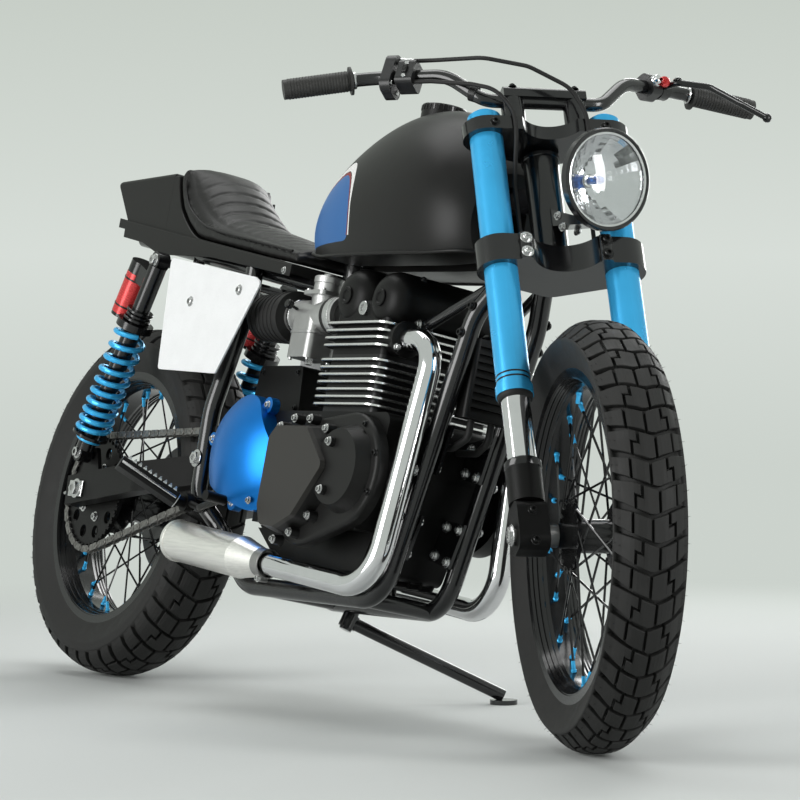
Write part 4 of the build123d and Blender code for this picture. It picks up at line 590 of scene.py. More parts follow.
def inset_outline(outline, amount):
    """The outline moved inwards; it runs anticlockwise."""
    n = len(outline)
    moved = []
    for i in range(n):
        a, b, c = (Vector(outline[j % n]) for j in (i - 1, i, i + 1))
        first = (b - a).normalized()
        second = (c - b).normalized()
        normal = Vector((-first.y - second.y, first.x + second.x))
        if normal.length < 1e-9:
            normal = Vector((-first.y, first.x))
        normal.normalize()
        lean = max(0.35, normal.dot(Vector((-first.y, first.x))))
        moved.append(b + normal * (amount / lean))
    return moved


def prism_shape(outline, depth, bevel):
    """Points and faces of a flat outline with depth and softened edges."""
    n = len(outline)
    inner = inset_outline(outline, bevel)
    rings = ((inner, 0.0), (outline, bevel), (outline, depth - bevel), (inner, depth))
    verts = []
    for ring, z in rings:
        verts += [(p[0], p[1], z) for p in ring]
    faces = [tuple(reversed(range(n))), tuple(range(3 * n, 4 * n))]
    return verts, faces + bridged(len(rings), n)


class Kit:
    """Small fittings of one body, gathered into one piece for each finish."""

    def __init__(self, name, body, place):
        self.name = name
        self.body = body
        self.place = place
        self.bins = {}

    def put(self, finish, shape, where=None):
        verts, faces = shape
        pool_verts, pool_faces = self.bins.setdefault(finish, ([], []))
        base = len(pool_verts)
        pool_verts.extend(where @ Vector(v) if where else Vector(v) for v in verts)
        pool_faces.extend(tuple(base + i for i in face) for face in faces)

    def turned(self, finish, profile, at, axis, segments=24, turn=None):
        self.put(finish, turned_shape(profile, segments), frame_on(at, axis, turn))

    def bolt(self, finish, at, axis, radius=5.0, height=5.5):
        """A socket-head bolt on a washer."""
        r, h = radius, height
        profile = ((0, h * 0.4), (r * 0.5, h * 0.4), (r * 0.56, h), (r * 0.86, h), (r, h * 0.84), (r, 1.0),
                   (r * 1.45, 1.0), (r * 1.5, 0.7), (r * 1.5, -0.4))
        self.turned(finish, profile, at, axis, 18)

    def nut(self, finish, at, axis, radius=9.0, height=8.0):
        """A hexagon nut with a chamfered crown and its washer."""
        r, h = radius, height
        body = ((0, h * 0.7), (r * 0.5, h * 0.7), (r * 0.52, h), (r * 0.86, h), (r, h * 0.86), (r, 1.4))
        washer = ((r * 0.8, 1.5), (r * 1.28, 1.4), (r * 1.32, 1.0), (r * 1.32, -0.3))
        self.turned(finish, body, at, axis, 6)
        self.turned(finish, washer, at, axis, 24)

    def swept(self, finish, path, section, closed=False):
        self.put(finish, swept_shape(path, section, closed))

    def ring(self, finish, at, axis, radius, width, rise=2.0):
        """A clamp band round something, with softened edges."""
        r, w = radius, width / 2
        soft = rise * 0.35
        profile = ((r - 0.5, -w), (r + rise * 0.7, -w), (r + rise, -w + soft), (r + rise, w - soft),
                   (r + rise * 0.7, w), (r - 0.5, w))
        self.turned(finish, profile, at, axis, 40)

    def close(self, crisp=35):
        """Make the gathered pieces."""
        for finish, (verts, faces) in self.bins.items():
            name = f"{self.name}_{finish}"
            mesh = from_data(name, verts, faces)
            face_out(mesh)
            piece = make_object(name, mesh, finish, self.body, self.place)
            sharp_by_angle(piece, crisp)


Y_RIGHT = Vector((0, -1, 0))
Y_LEFT = Vector((0, 1, 0))


# Wheels: blue nipples, spoke heads and stepped ridges on the rims
SPOKES = 36


def dress_wheel(kit, flange_edge, flange_z, rim_radius, rim_half):
    """Nipples at the rim, heads at the hub and three ridges on each side of the rim."""
    rim_inner = rim_radius - 26.8
    root = flange_edge + 2.4
    step = 2 * math.pi / SPOKES
    for side, lacing, first in ((-1, 1, 0), (1, 1, 1), (-1, -1, 2), (1, -1, 3)):
        for turn in range(SPOKES // 4):
            rim_angle = (first + 4 * turn) * step
            hub_angle = rim_angle - lacing * math.radians(60)
            start = Vector((root * math.cos(hub_angle), root * math.sin(hub_angle),
                            side * (flange_z + lacing * 2.4)))
            end = Vector((rim_inner * math.cos(rim_angle), rim_inner * math.sin(rim_angle),
                          side * (6.0 + lacing * 2.6)))
            run = (start - end).normalized()
            nipple = ((0, -1.0), (4.6, -1.0), (4.6, 2.4), (3.5, 3.6), (3.3, 15.0), (2.6, 17.0), (1.9, 17.0))
            kit.turned("blue_metal", nipple, end, run, 8)
            head_at = Vector((start.x * 0.962, start.y * 0.962, side * (flange_z + 3.0)))
            head = ((0, 2.2), (2.4, 1.9), (4.2, 0.6), (4.2, -0.5))
            kit.turned("black_metal", head, head_at, (0, 0, side), 10)
    for side in (1, -1):
        top = Vector((rim_radius - 14.5, rim_half - 1.6))
        low = Vector((rim_radius - 25.6, rim_half * 0.38))
        for share in (0.06, 0.36, 0.66):
            at = top.lerp(low, share)
            along = (low - top).normalized()
            out = Vector((-abs(along.y), abs(along.x)))
            corners = [at + along * a + out * b for a, b in RIM_RIDGE]
            ridge = [(p.x, side * p.y) for p in corners]
            kit.turned("black_metal", ridge, (0, 0, 0), (0, 0, 1), 120)


RIM_RIDGE = ((-1.0, -0.6), (-0.6, 1.9), (2.6, 1.9), (4.4, -0.6))
front_wheel_kit = Kit("front_wheel_trim", "front_wheel", FRONT_WHEEL)
dress_wheel(front_wheel_kit, 53.0, 36.0, *FRONT_RIM)
front_wheel_kit.close()

rear_wheel_kit = Kit("rear_wheel_trim", "rear_wheel", REAR_WHEEL)
dress_wheel(rear_wheel_kit, 69.0, 42.0, *REAR_RIM)
TEETH = 43
TOOTH_ROOT = 100.4
TOOTH_WIDTH = 5.2
CHAIN_Y = -90.0
tooth = ((-4.6, -1.5), (4.6, -1.5), (2.6, 1.8), (1.1, 3.0), (-1.1, 3.0), (-2.6, 1.8))
for k in range(TEETH):
    angle = 2 * math.pi * (k + 0.5) / TEETH
    way = Vector((math.cos(angle), math.sin(angle), 0))
    side_way = Vector((-way.y, way.x, 0))
    pose = Matrix((side_way, way, side_way.cross(way))).transposed().to_4x4()
    pose.translation = way * TOOTH_ROOT + Vector((0, 0, CHAIN_Y - TOOTH_WIDTH / 2))
    rear_wheel_kit.put("engine_black", prism_shape(tooth, TOOTH_WIDTH, 0.7), pose)
for k in range(5):
    angle = 2 * math.pi * k / 5
    at = (48 * math.cos(angle), 48 * math.sin(angle), CHAIN_Y - 3.5)
    rear_wheel_kit.nut("bolt_steel", at, (0, 0, -1), 7.5, 6.5)
for k in range(6):
    angle = 2 * math.pi * (k + 0.5) / 6
    rear_wheel_kit.bolt("bolt_steel", (42 * math.cos(angle), 42 * math.sin(angle), 86.5), (0, 0, 1), 6.0, 5.0)
rear_wheel_kit.close()


# Drive chain: links along the loop of the fixed chain
CHAIN_PITCH = 15.875
REAR_PITCH = 108.7
FRONT_PITCH = 43.2
REAR_AT = Vector((0.0, REAR_RADIUS))
FRONT_AT = Vector((560.0, 421.0))


def chain_loop():
    """Points every chain pitch along the loop in the X, Z plane."""
    run = FRONT_AT - REAR_AT
    base = math.atan2(run.y, run.x)
    lean = math.acos((REAR_PITCH - FRONT_PITCH) / run.length)
    dense = []
    for k in range(241):
        angle = base + lean + (2 * math.pi - 2 * lean) * k / 240
        dense.append(REAR_AT + REAR_PITCH * Vector((math.cos(angle), math.sin(angle))))
    for k in range(121):
        angle = base - lean + 2 * lean * k / 120
        dense.append(FRONT_AT + FRONT_PITCH * Vector((math.cos(angle), math.sin(angle))))
    dense.append(dense[0])
    length = sum((b - a).length for a, b in zip(dense, dense[1:]))
    links = 2 * round(length / CHAIN_PITCH / 2)
    return even_points(dense, links, links)[0]


def link_outline(length):
    """A chain side plate: two round ends with a drawn-in waist."""
    ends = []
    for k in range(9):
        angle = math.radians(-110 + 220 * k / 8)
        ends.append((length / 2 + 6.6 * math.cos(angle), 6.6 * math.sin(angle)))
    return ends + [(-x, -y) for x, y in ends]


chain_kit = Kit("chain_links", "chassis", STANCE)
loop = chain_loop()
for k, here in enumerate(loop):
    ahead = loop[(k + 1) % len(loop)]
    run = ahead - here
    along = Vector((run.x, 0, run.y)).normalized()
    upward = along.cross(Y_LEFT)
    middle = (here + ahead) / 2
    outer = k % 2
    gap = 6.2 if outer else 4.2
    plate = prism_shape(link_outline(run.length), 1.7, 0.4)
    for side in (1, -1):
        pose = Matrix((along, upward, along.cross(upward))).transposed().to_4x4()
        sideways = along.cross(upward)
        pose.translation = Vector((middle.x, CHAIN_Y, middle.y)) + sideways * (side * (gap + 0.85) - 0.85)
        chain_kit.put("chain_steel", plate, pose)
    pin = ((0, -8.6), (2.4, -8.6), (2.4, -4.2), (4.6, -4.2), (4.6, 4.2), (2.4, 4.2), (2.4, 8.6), (0, 8.6))
    chain_kit.turned("chain_steel", pin, (here.x, CHAIN_Y, here.y), Y_LEFT, 8)
chain_kit.close()
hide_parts("drive_chain")


# Shock absorbers: wound springs, red reservoirs and collars
SHOCK_TOP = Vector((174, 140, 765))
SHOCK_BOTTOM = Vector((9, 140, 400))
SHOCK_ALONG = (SHOCK_TOP - SHOCK_BOTTOM).normalized()
SHOCK_LENGTH = (SHOCK_TOP - SHOCK_BOTTOM).length
SHOCK_REAR = Vector((-SHOCK_ALONG.z, 0, SHOCK_ALONG.x))
COIL_FOOT = 48.0
COIL_RISE = 208.0
COIL_RADIUS = 28.8
COIL_WIRE = 5.3
CLOSE_TURNS = 0.06
RESERVOIR_BACK = 58.0


def shock_pose(distance, side, set_back=0.0):
    """A placement on the shock: Z along it, X rearward, at a distance up from the lower eye."""
    at = SHOCK_BOTTOM + SHOCK_ALONG * distance + SHOCK_REAR * set_back
    at = Vector((at.x, side * at.y, at.z))
    pose = Matrix((SHOCK_REAR, SHOCK_ALONG.cross(SHOCK_REAR), SHOCK_ALONG)).transposed().to_4x4()
    pose.translation = at
    return pose


def spring_path():
    """Centre line of the coil: close turns at the foot, open turns above."""
    path = []
    turns = 9.5
    steps = 22
    total = int(turns * steps)
    for k in range(total + 1):
        t = k / total
        rise = COIL_RISE * (0.72 * t + 0.28 * t * t) * min(1.0, t / CLOSE_TURNS) ** 0.3
        angle = 2 * math.pi * turns * t
        path.append(Vector((COIL_RADIUS * math.cos(angle), COIL_RADIUS * math.sin(angle), COIL_FOOT + rise)))
    return path


spring_kit = Kit("wound_spring", "chassis", STANCE)
shock_kit = Kit("shock_trim", "chassis", STANCE)
RESERVOIR_LOW = SHOCK_LENGTH - 138.0
for side in (1, -1):
    coil = swept_shape(spring_path(), round_section(COIL_WIRE, 10))
    spring_kit.put("blue_metal", coil, shock_pose(0, side))
    reservoir = shock_pose(RESERVOIR_LOW, side, RESERVOIR_BACK)
    sleeve = ((22.8, 6.0), (23.5, 6.6), (23.5, 88.0), (22.8, 88.6))
    shock_kit.put("red_metal", turned_shape(sleeve, 40), reservoir)
    for low in (20.0, 74.0):
        band = ((23.3, low), (24.1, low + 0.4), (24.1, low + 3.4), (23.3, low + 3.8))
        shock_kit.put("bolt_black", turned_shape(band, 40), reservoir)
    cap = ((0, -3.0), (9, -3.0), (11, -1.0), (19, -1.0), (21.5, 0.6), (21.5, 1.5))
    shock_kit.put("bolt_black", turned_shape(cap, 32), reservoir)
    for height, radius in ((278, 26), (286, 24), (294, 26)):
        collar = ((16, 0), (radius - 1, 0), (radius, 1), (radius, 4.5), (radius - 1, 5.5), (16, 5.5))
        shock_kit.put("black_metal", turned_shape(collar, 36), shock_pose(height, side))
    foot = ((16, -8), (24, -8), (25.5, -6), (25.5, -2), (24, 0), (16, 0))
    shock_kit.put("blue_metal", turned_shape(foot, 36), shock_pose(36, side))
    for eye in (SHOCK_TOP, SHOCK_BOTTOM):
        at = Vector((eye.x, side * (eye.y + 12.0), eye.z))
        shock_kit.nut("bolt_steel", at, (0, side, 0), 9.5, 8.0)
spring_kit.close()
shock_kit.close()
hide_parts("shock_springs")


# Engine: machined fin edges, cover bolts, carburettor fittings and sump ribs
CYLINDER_X = 874.0
FIN_LENGTH = 196.0
FIN_WIDTH = 260.0
FIN_CORNER = 24.0
FIN_LEVELS = [501.2 + 12.6 * k for k in range(7)] + [601.6 + 12.6 * k for k in range(4)]


def rounded_loop(length, width, radius, steps=6):
    """Points round a rectangle with rounded corners, anticlockwise."""
    loop_points = []
    for quarter, (sx, sy) in enumerate(((1, 1), (-1, 1), (-1, -1), (1, -1))):
        cx = sx * (length / 2 - radius)
        cy = sy * (width / 2 - radius)
        for k in range(steps + 1):
            angle = math.pi / 2 * (quarter + k / steps)
            loop_points.append((cx + radius * math.cos(angle), cy + radius * math.sin(angle)))
    return loop_points


def edge_band(level):
    """A bright band over the rim of one fin."""
    section = ((-5.0, -0.12), (-0.3, -0.12), (0.3, 0.5), (0.3, 3.5), (-0.3, 4.12), (-5.0, 4.12))
    verts = []
    for grow, rise in section:
        ring = rounded_loop(FIN_LENGTH + 2 * grow, FIN_WIDTH + 2 * grow, FIN_CORNER + grow)
        verts += [(CYLINDER_X + x, y, level + rise) for x, y in ring]
    return verts, bridged(len(section), len(verts) // len(section))


engine_kit = Kit("engine_trim", "chassis", STANCE)
for level in FIN_LEVELS:
    engine_kit.put("fin_edge", edge_band(level))

# Bosses and bolts round the clutch shield: X, Z
CLUTCH_BOLTS = (
    (728, 412), (726, 352), (738, 296), (784, 266), (832, 280), (880, 310),
    (932, 352), (934, 432), (890, 456), (836, 472), (786, 472), (744, 458),
)
COVER_FACE = 139.0
DOME_AT = Vector((950, 392))
DOME_REACH = 66
for x, z in CLUTCH_BOLTS:
    seat = 172.0 if (Vector((x, z)) - DOME_AT).length < DOME_REACH else 155.2
    tall = seat - COVER_FACE
    boss = ((10.5, 0.0), (9.0, 2.5), (8.4, tall - 1.2), (7.6, tall), (0, tall))
    engine_kit.turned("engine_black", boss, (x, -COVER_FACE, z), Y_RIGHT, 20)
    engine_kit.bolt("bolt_steel", (x, -seat, z), Y_RIGHT, 5.2, 5.5)
for x, z in ((652, 498), (588, 326), (482, 436)):
    engine_kit.bolt("bolt_steel", (x, -134.0, z), Y_RIGHT, 5.0, 5.5)
for x, y, z in ((560, -147.0, 470), (530, -143.0, 366), (660, -143.0, 330)):
    engine_kit.bolt("bolt_steel", (x, y, z), Y_RIGHT, 4.6, 5.0)
for k in range(8):
    angle = math.radians(20 + 45 * k)
    at = Vector((math.cos(angle), 0, math.sin(angle)))
    engine_kit.bolt("bolt_black", at * 84 + Vector((945, 155.5, DOME_AT.y)), Y_LEFT, 4.8, 5.0)
    if math.degrees(angle) < 80 or math.degrees(angle) > 290:
        engine_kit.bolt("bolt_black", at * 83 + Vector((DOME_AT.x, -139.5, DOME_AT.y)), Y_RIGHT, 4.6, 5.0)
# Ring ribs on the front bulge of the right cover
for radius, depth in ((66, 142.5), (54, 149.0), (42, 156.0)):
    rib = ((radius + 1.6, -2.0), (radius + 1.2, 1.5), (radius - 1.2, 1.7), (radius - 1.6, -2.0))
    engine_kit.turned("engine_black", rib, (DOME_AT.x, -depth, DOME_AT.y), Y_RIGHT, 72)
# Cam barrels: end plugs, joint flange bolts and the silver plug between them
for x, z, radius in ((824, 690, 52), (930, 684, 50)):
    for side in (1, -1):
        plug = ((0, 2.0), (8, 2.0), (10, 4.0), (14, 4.0), (15, 3.0), (15, -1.5))
        engine_kit.turned("engine_black", plug, (x, side * 119.5, z), (0, side, 0), 32)
        for dx in (-26, 26):
            engine_kit.bolt("bolt_black", (x + dx, side * 60.0, z + math.sqrt(radius ** 2 - dx ** 2) - 0.5),
                            (dx / radius, 0, math.sqrt(1 - (dx / radius) ** 2)), 4.2, 5.0)
for side in (1, -1):
    plug = ((0, 3.0), (6.0, 3.0), (6.5, 5.0), (11.5, 5.0), (12.5, 4.0), (12.5, -2.0))
    engine_kit.turned("bolt_steel", plug, (877, side * 114.0, 668), (0, side, 0), 28)
    for x in (800, 948):
        engine_kit.nut("bolt_steel", (x, side * 100.0, 682.0), (0, 0, 1), 7.0, 7.0)
# Carburettors: flange screws, bands, drain plugs and choke knobs
CARB_Y = 82.0
CARB_Z = 664
BOWL_X = 672
FLANGE_X = 694
for side in (1, -1):
    y = side * CARB_Y
    for dx in (-25, 25):
        for dy in (-23, 23):
            engine_kit.bolt("bolt_steel", (FLANGE_X + dx, y + dy, 705.0), (0, 0, 1), 3.6, 4.0)
    cap = ((25.6, -10), (26.4, -9), (26.4, 0), (24.5, 2.2), (12, 4.2), (11, 7.5), (0, 8.0))
    engine_kit.turned("cast_alloy", cap, (FLANGE_X, y, 730), (0, 0, 1), 36)
    engine_kit.turned("bolt_steel", ((0, 9), (5.5, 9), (6.5, 8), (6.5, -1)), (BOWL_X, y, 588), (0, 0, -1), 6)
    for dx in (-28, 28):
        for dy in (-21, 21):
            engine_kit.bolt("bolt_steel", (BOWL_X + dx, y + dy, 588), (0, 0, -1), 3.2, 4.0)
    rim = rounded_loop(73, 61, 13)
    pose = Matrix.Translation((BOWL_X, y, 630))
    engine_kit.put("cast_alloy", prism_shape(rim, 5.0, 1.0), pose)
    engine_kit.ring("bolt_steel", (757, y, CARB_Z), (1, 0, 0), 33.6, 9.0, 1.6)
    engine_kit.ring("rubber", (737, y, CARB_Z), (1, 0, 0), 28.6, 14.0, 4.0)
    engine_kit.ring("bolt_steel", (622, y, CARB_Z), (1, 0, 0), 28.6, 8.0, 2.2)
    for x in (512, 527, 542, 557, 572, 587):
        radius = 40 + 6 * (x - 500) / 109.7
        engine_kit.ring("rubber", (x, y, CARB_Z), (1, 0, 0), radius - 0.3, 7.0, 2.0)
    cover = ((0, 3.5), (16, 3.5), (18, 2.0), (34, 2.0), (37, 0.2), (37, -1.0))
    engine_kit.turned("rubber", cover, (500, y, CARB_Z), (-1, 0, 0), 40)
    knob = ((2.6, 0), (2.6, 12), (7.5, 13), (8.2, 15), (8.2, 22), (6.5, 24), (0, 24))
    engine_kit.turned("bolt_black", knob, (650, y + side * 28, 672), (0, side, 0.3), 20)
# Sump ribs, drain plug, and the cap screws of the electrics box
sump_rib = prism_shape([(700, 222.5), (940, 222.5), (946, 233), (694, 233)], 5.0, 1.0)
for k in range(7):
    y = -72 + 24 * k
    pose = Matrix(((1, 0, 0, 0), (0, 0, -1, y + 2.5), (0, 1, 0, 0), (0, 0, 0, 1)))
    engine_kit.put("engine_black", sump_rib, pose)
engine_kit.nut("bolt_steel", (820, -40, 223), (0, 0, -1), 10, 6)
for x, z in ((512, 568), (632, 568), (560, 482), (640, 505)):
    for side in (1, -1):
        engine_kit.bolt("bolt_black", (x, side * 74.0, z), (0, side, 0), 4.2, 4.5)
engine_kit.close()


# Exhaust: port collars, clamp bands and muffler end rings
exhaust_kit = Kit("exhaust_trim", "chassis", STANCE)
PORT = (982.6, 92, 618)
for side in (1, -1):
    start = Vector((742, side * 138, 226))
    end = Vector((455, side * 152, 250))
    way = (end - start).normalized()
    exhaust_kit.ring("steel", start - way * 2, way, 23.4, 22.0, 1.8)
    lug = [(-9, -7), (9, -7), (9, 7), (-9, 7)]
    exhaust_kit.put("steel", prism_shape(lug, 10, 1.4), frame_on(start + Vector((0, 0, -32)), (0, 0, 1)))
    exhaust_kit.bolt("bolt_steel", start + Vector((0, side * 7.5, -27)), (0, side, 0), 4.6, 5.0)
    exhaust_kit.ring("muffler_steel", end - way * 5, way, 36.0, 8.0, 1.4)
    lip = ((26.2, -30.0), (26.2, 0.6), (28.0, 1.6), (34.5, 1.6), (36.2, 0.4))
    exhaust_kit.turned("muffler_steel", lip, end, way, 48)
    exhaust_kit.ring("muffler_steel", start + way * 72, way, 35.8, 4.0, 0.9)
    collar = ((19.2, 0), (29, 0), (30.5, 1.5), (30.5, 8), (28, 10), (21, 12), (19.2, 12))
    exhaust_kit.turned("engine_black", collar, (PORT[0], side * PORT[1], PORT[2]), (1, 0, 0), 40)
    for angle in (40, 220):
        dy = 25 * math.cos(math.radians(angle))
        dz = 25 * math.sin(math.radians(angle))
        exhaust_kit.nut("bolt_steel", (PORT[0] + 9.9, side * PORT[1] + dy, PORT[2] + dz), (1, 0, 0), 5.0, 6.0)
exhaust_kit.close()


# Frame, plates, pegs and axle fittings
PLATE_BOLTS = (
    (1028, 421), (1062, 415), (1034, 461), (1078, 472), (1001, 331), (1038, 327), (980, 283), (1019, 273),
)
trim = Kit("frame_trim", "chassis", STANCE)
for side in (1, -1):
    out = (0, side, 0)
    for x, z in ((510, 700), (340, 683)):
        trim.bolt("bolt_steel", (x, side * 151.5, z), out, 6.5, 5.0)
    trim.bolt("bolt_steel", (573, side * 105.6, 744), out, 4.6, 4.0)
    for x, y, z in ((1136, 75.5, 676), (1122, 78, 632), (1060, 78, 404), (1040, 78, 330)):
        trim.bolt("bolt_steel" if z < 410 else "bolt_black", (x, side * y, z), out, 6.0, 6.0)
    for x, z in PLATE_BOLTS:
        trim.bolt("bolt_steel", (x, side * 39.4, z), (0, -side, 0), 6.6, 6.0)
    trim.ring("frame_black", (985, side * 60.4, 646.8), (0.98, side * 0.16, 0.14), 8.8, 14.0, 4.0)
    trim.bolt("bolt_steel", (986, side * 73.5, 647), out, 6.0, 6.0)
    # Swingarm pivot nut, chain adjusters and axle nuts
    trim.nut("bolt_steel", (440, side * 137.0, 400), out, 12, 8)
    plate = [(-30, -15), (22, -15), (22, 15), (-30, 15)]
    pose = frame_on((0, side * 132.0, 333), out, (1, 0, 0))
    trim.put("bolt_steel", prism_shape(plate, 5.0, 1.2), pose)
    trim.nut("bolt_steel", (0, side * 137.0, 333), out, 14, 10)
    screw = ((0, 30), (2.8, 30), (3.4, 29), (3.4, 8), (6.5, 8), (6.5, 0))
    trim.turned("bolt_steel", screw, (-50, side * 118.0, 328.5), (-1, 0, -0.12), 12)
    # Footpeg teeth and hinge
    way = Vector((-0.35, side * 0.85, 0.40)).normalized()
    root = Vector((464, side * 176, 318))
    across_peg = (Vector((1, 0, 0)) - way * way.x).normalized()
    top = way.cross(across_peg) * -side
    for k in range(10):
        for edge in (-16.0, 16.0):
            at = root + way * (12 + 10.6 * k) + across_peg * edge + top * 10.6
            fang = ((0, 6.5), (1.4, 6.2), (4.8, 0.0), (4.8, -1.5))
            trim.turned("bolt_steel", fang, at, top, 4, tuple(way + across_peg))
    for edge in (-1, 1):
        rail = [root + way * d + across_peg * edge * 20.2 for d in (3, 60, 116)]
        trim.swept("bolt_steel", rail, [(-1.0, -4), (1.0, -4), (1.0, 4), (-1.0, 4)])
    trim.nut("bolt_steel", root - way * 2, way, 11, 6)
# Head tube collars and the lower edge bead of the tank
RAKE_AXIS = Vector((-math.sin(RAKE), 0, math.cos(RAKE)))
STEER_FOOT = Vector((WHEELBASE + TRAIL, 0, 0))
for height in (860.0, 1036.0):
    trim.ring("frame_black", STEER_FOOT + RAKE_AXIS * height, RAKE_AXIS, 28.8, 8.0, 3.0)
TANK_EDGE = (
    (598, 60, 782), (660, 88, 770), (760, 108, 765), (880, 116, 762), (1005, 110, 760), (1102, 66, 768),
)
bead = [(x, -y, z) for x, y, z in TANK_EDGE] + [(x, y, z) for x, y, z in reversed(TANK_EDGE)]
trim.swept("tank_black", curve_through(bead, 10, closed=True), round_section(3.4, 10), closed=True)
# Filler cap: grip ribs and a stepped crown
CAP_X = 832
CAP_RADIUS = 38.2
CAP_RIBS = 30
rib = [(-1.6, -1.0), (1.6, -1.0), (1.2, 1.4), (-1.2, 1.4)]
for k in range(CAP_RIBS):
    angle = 2 * math.pi * k / CAP_RIBS
    x, y = math.cos(angle), math.sin(angle)
    at = (CAP_X + CAP_RADIUS * x, CAP_RADIUS * y, 1034)
    pose = Matrix(((-y, x, 0, at[0]), (x, y, 0, at[1]), (0, 0, 1, at[2]), (0, 0, 0, 1)))
    trim.put("black_metal", prism_shape(rib, 9.0, 0.4), pose)
crown = ((38.4, 0), (37.5, 1.4), (33, 2.2), (31, 1.4), (26, 1.4), (24, 3.4), (8, 4.6), (7, 5.6), (0, 5.8))
trim.turned("black_metal", crown, (CAP_X, 0, 1044), (0, 0, 1), 48)
trim.close()


# Headlight: reflector, bulb, clear dome, bezel and bracket bolts
LAMP_AT = Vector((1340, 0, 892))
LAMP_WAY = (1, 0, 0)
lamp_kit = Kit("lamp_trim", "chassis", STANCE)
bezel = ((73.4, -5), (74.4, 2.0), (76.0, 4.0), (79.5, 4.0), (81.4, 2.0), (81.6, -10), (80.2, -12))
lamp_kit.turned("frame_black", bezel, LAMP_AT, LAMP_WAY, 96)
inner_ring = ((70.5, -2.0), (71.0, 1.8), (72.6, 2.8), (74.4, 2.6))
lamp_kit.turned("polished", inner_ring, LAMP_AT, LAMP_WAY, 96)
for x, z in ((1243, 834), (1262, 815)):
    for side in (1, -1):
        lamp_kit.bolt("bolt_steel", (x, side * 14.0, z), (0, side, 0), 5.0, 5.0)
lamp_kit.close()
mirror_kit = Kit("lamp_mirror", "chassis", STANCE)
rings = [(r, -(50.0 - 46.0 * (r / 72.5) ** 2)) for r in (11, 17, 24, 31, 38, 45, 52, 59, 66, 72.5)]
mirror_kit.turned("polished", rings, LAMP_AT, LAMP_WAY, 28)
mirror_kit.close(crisp=1)
bulb_kit = Kit("lamp_bulb", "chassis", STANCE)
bulb = ((0, -12), (4.5, -14), (7.0, -19), (7.6, -30), (7.0, -42), (6.5, -52))
bulb_kit.turned("bulb_blue", bulb, LAMP_AT, LAMP_WAY, 28)
bulb_kit.turned("bolt_steel", ((6.4, -46), (10.0, -47), (11.2, -51), (11.2, -55)), LAMP_AT, LAMP_WAY, 28)
bulb_kit.close()
LENS_RADIUS = 73.4
LENS_INSIDE = 70.9
LENS_WALL = 2.4
LENS_RISE = 20.0
LENS_STEPS = 14
DOME = (73.5 ** 2 + LENS_RISE ** 2) / (2 * LENS_RISE)


def dome_line(edge, wall):
    """Points from the middle to the edge of the lens surface, or of its inside."""
    line = []
    for k in range(LENS_STEPS + 1):
        radius = edge * k / LENS_STEPS
        line.append((radius, LENS_RISE - DOME + math.sqrt(max(0.0, (DOME - wall) ** 2 - radius * radius))))
    return line


lens = dome_line(LENS_RADIUS, 0) + [(LENS_RADIUS, -5.0), (LENS_INSIDE, -5.0)]
lens += reversed(dome_line(LENS_INSIDE, LENS_WALL))
lens_kit = Kit("lamp_dome", "chassis", STANCE)
lens_kit.turned("glass", lens, LAMP_AT, LAMP_WAY, 72)
lens_kit.close(crisp=50)
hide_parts("headlight_lens")


# Fork and handlebar fittings
fork_kit = Kit("fork_trim", "steering", FORK)
LEG_Y = 99.0
for side in (1, -1):
    y = side * LEG_Y
    cap = ((24, 0), (24, 2.5), (19, 3.0), (18, 7.0), (11, 7.5), (10, 6.2), (7.5, 6.2), (7.0, 8.5), (0, 8.5))
    fork_kit.turned("blue_metal", cap, (FORK_OFFSET, y, 1088), (0, 0, 1), 48)
    fork_kit.bolt("bolt_steel", (FORK_OFFSET, y, 1096), (0, 0, 1), 4.6, 4.0)
    for t in (604.0, 612.0):
        line = ((26.6, -1.6), (27.25, -1.4), (27.25, 1.4), (26.6, 1.6))
        fork_kit.turned("bolt_black", line, (FORK_OFFSET, y, t), (0, 0, 1), 48)
    seal = ((23.2, -7.0), (26.0, -7.0), (27.6, -5.0), (28.2, 0.0), (23.2, 0.2))
    fork_kit.turned("rubber", seal, (FORK_OFFSET, y, 579), (0, 0, 1), 48)
    sleeve = ((23.3, 3.0), (27.0, 3.0), (29.4, 0.5), (29.4, -9.0), (28.0, -11.0))
    fork_kit.turned("black_metal", sleeve, (FORK_OFFSET, y, 462), (0, 0, 1), 48)
    for t in (814.0, 839.0):
        fork_kit.bolt("bolt_steel" if side < 0 else "bolt_black", (88, side * 65, t), (1, 0, 0), 6.6, 6.5)
    fork_kit.bolt("bolt_black", (80.5, side * 92, 1058), (1, 0, 0), 5.6, 6.0)
    fork_kit.nut("bolt_steel", (FORK_OFFSET, side * 128, AXLE_HEIGHT), (0, side, 0), 13, 7)
    for t in (322.0, 372.0):
        fork_kit.bolt("bolt_black", (71, y, t), (1, 0, 0), 5.2, 6.0)
    for dx in (-12, 12):
        fork_kit.bolt("bolt_black", (52 + dx, side * 52, 1136), (0, 0, 1), 4.8, 5.5)
stem_nut = ((17, 0), (17, 2), (15, 2.5), (14.5, 9), (12, 10), (6, 10), (5.5, 6), (0, 6))
fork_kit.turned("bolt_steel", stem_nut, (0, 0, 1070), (0, 0, 1), 6)
BAR_BEND = Vector((-44, 262, 1214))
BAR_RUN = (BAR_BEND - Vector((30, 150, 1176))).normalized()
GRIP_RUN = (Vector((-64, 398, 1199)) - BAR_BEND).normalized()


def bar_pose(distance, side, run=BAR_RUN):
    """A placement on the bar at a distance inside the grip bend: Z outward along the bar, X forward."""
    at = BAR_BEND - run * distance
    way = Vector((run.x, side * run.y, run.z))
    return frame_on((at.x, side * at.y, at.z), way, (1, 0, 0))


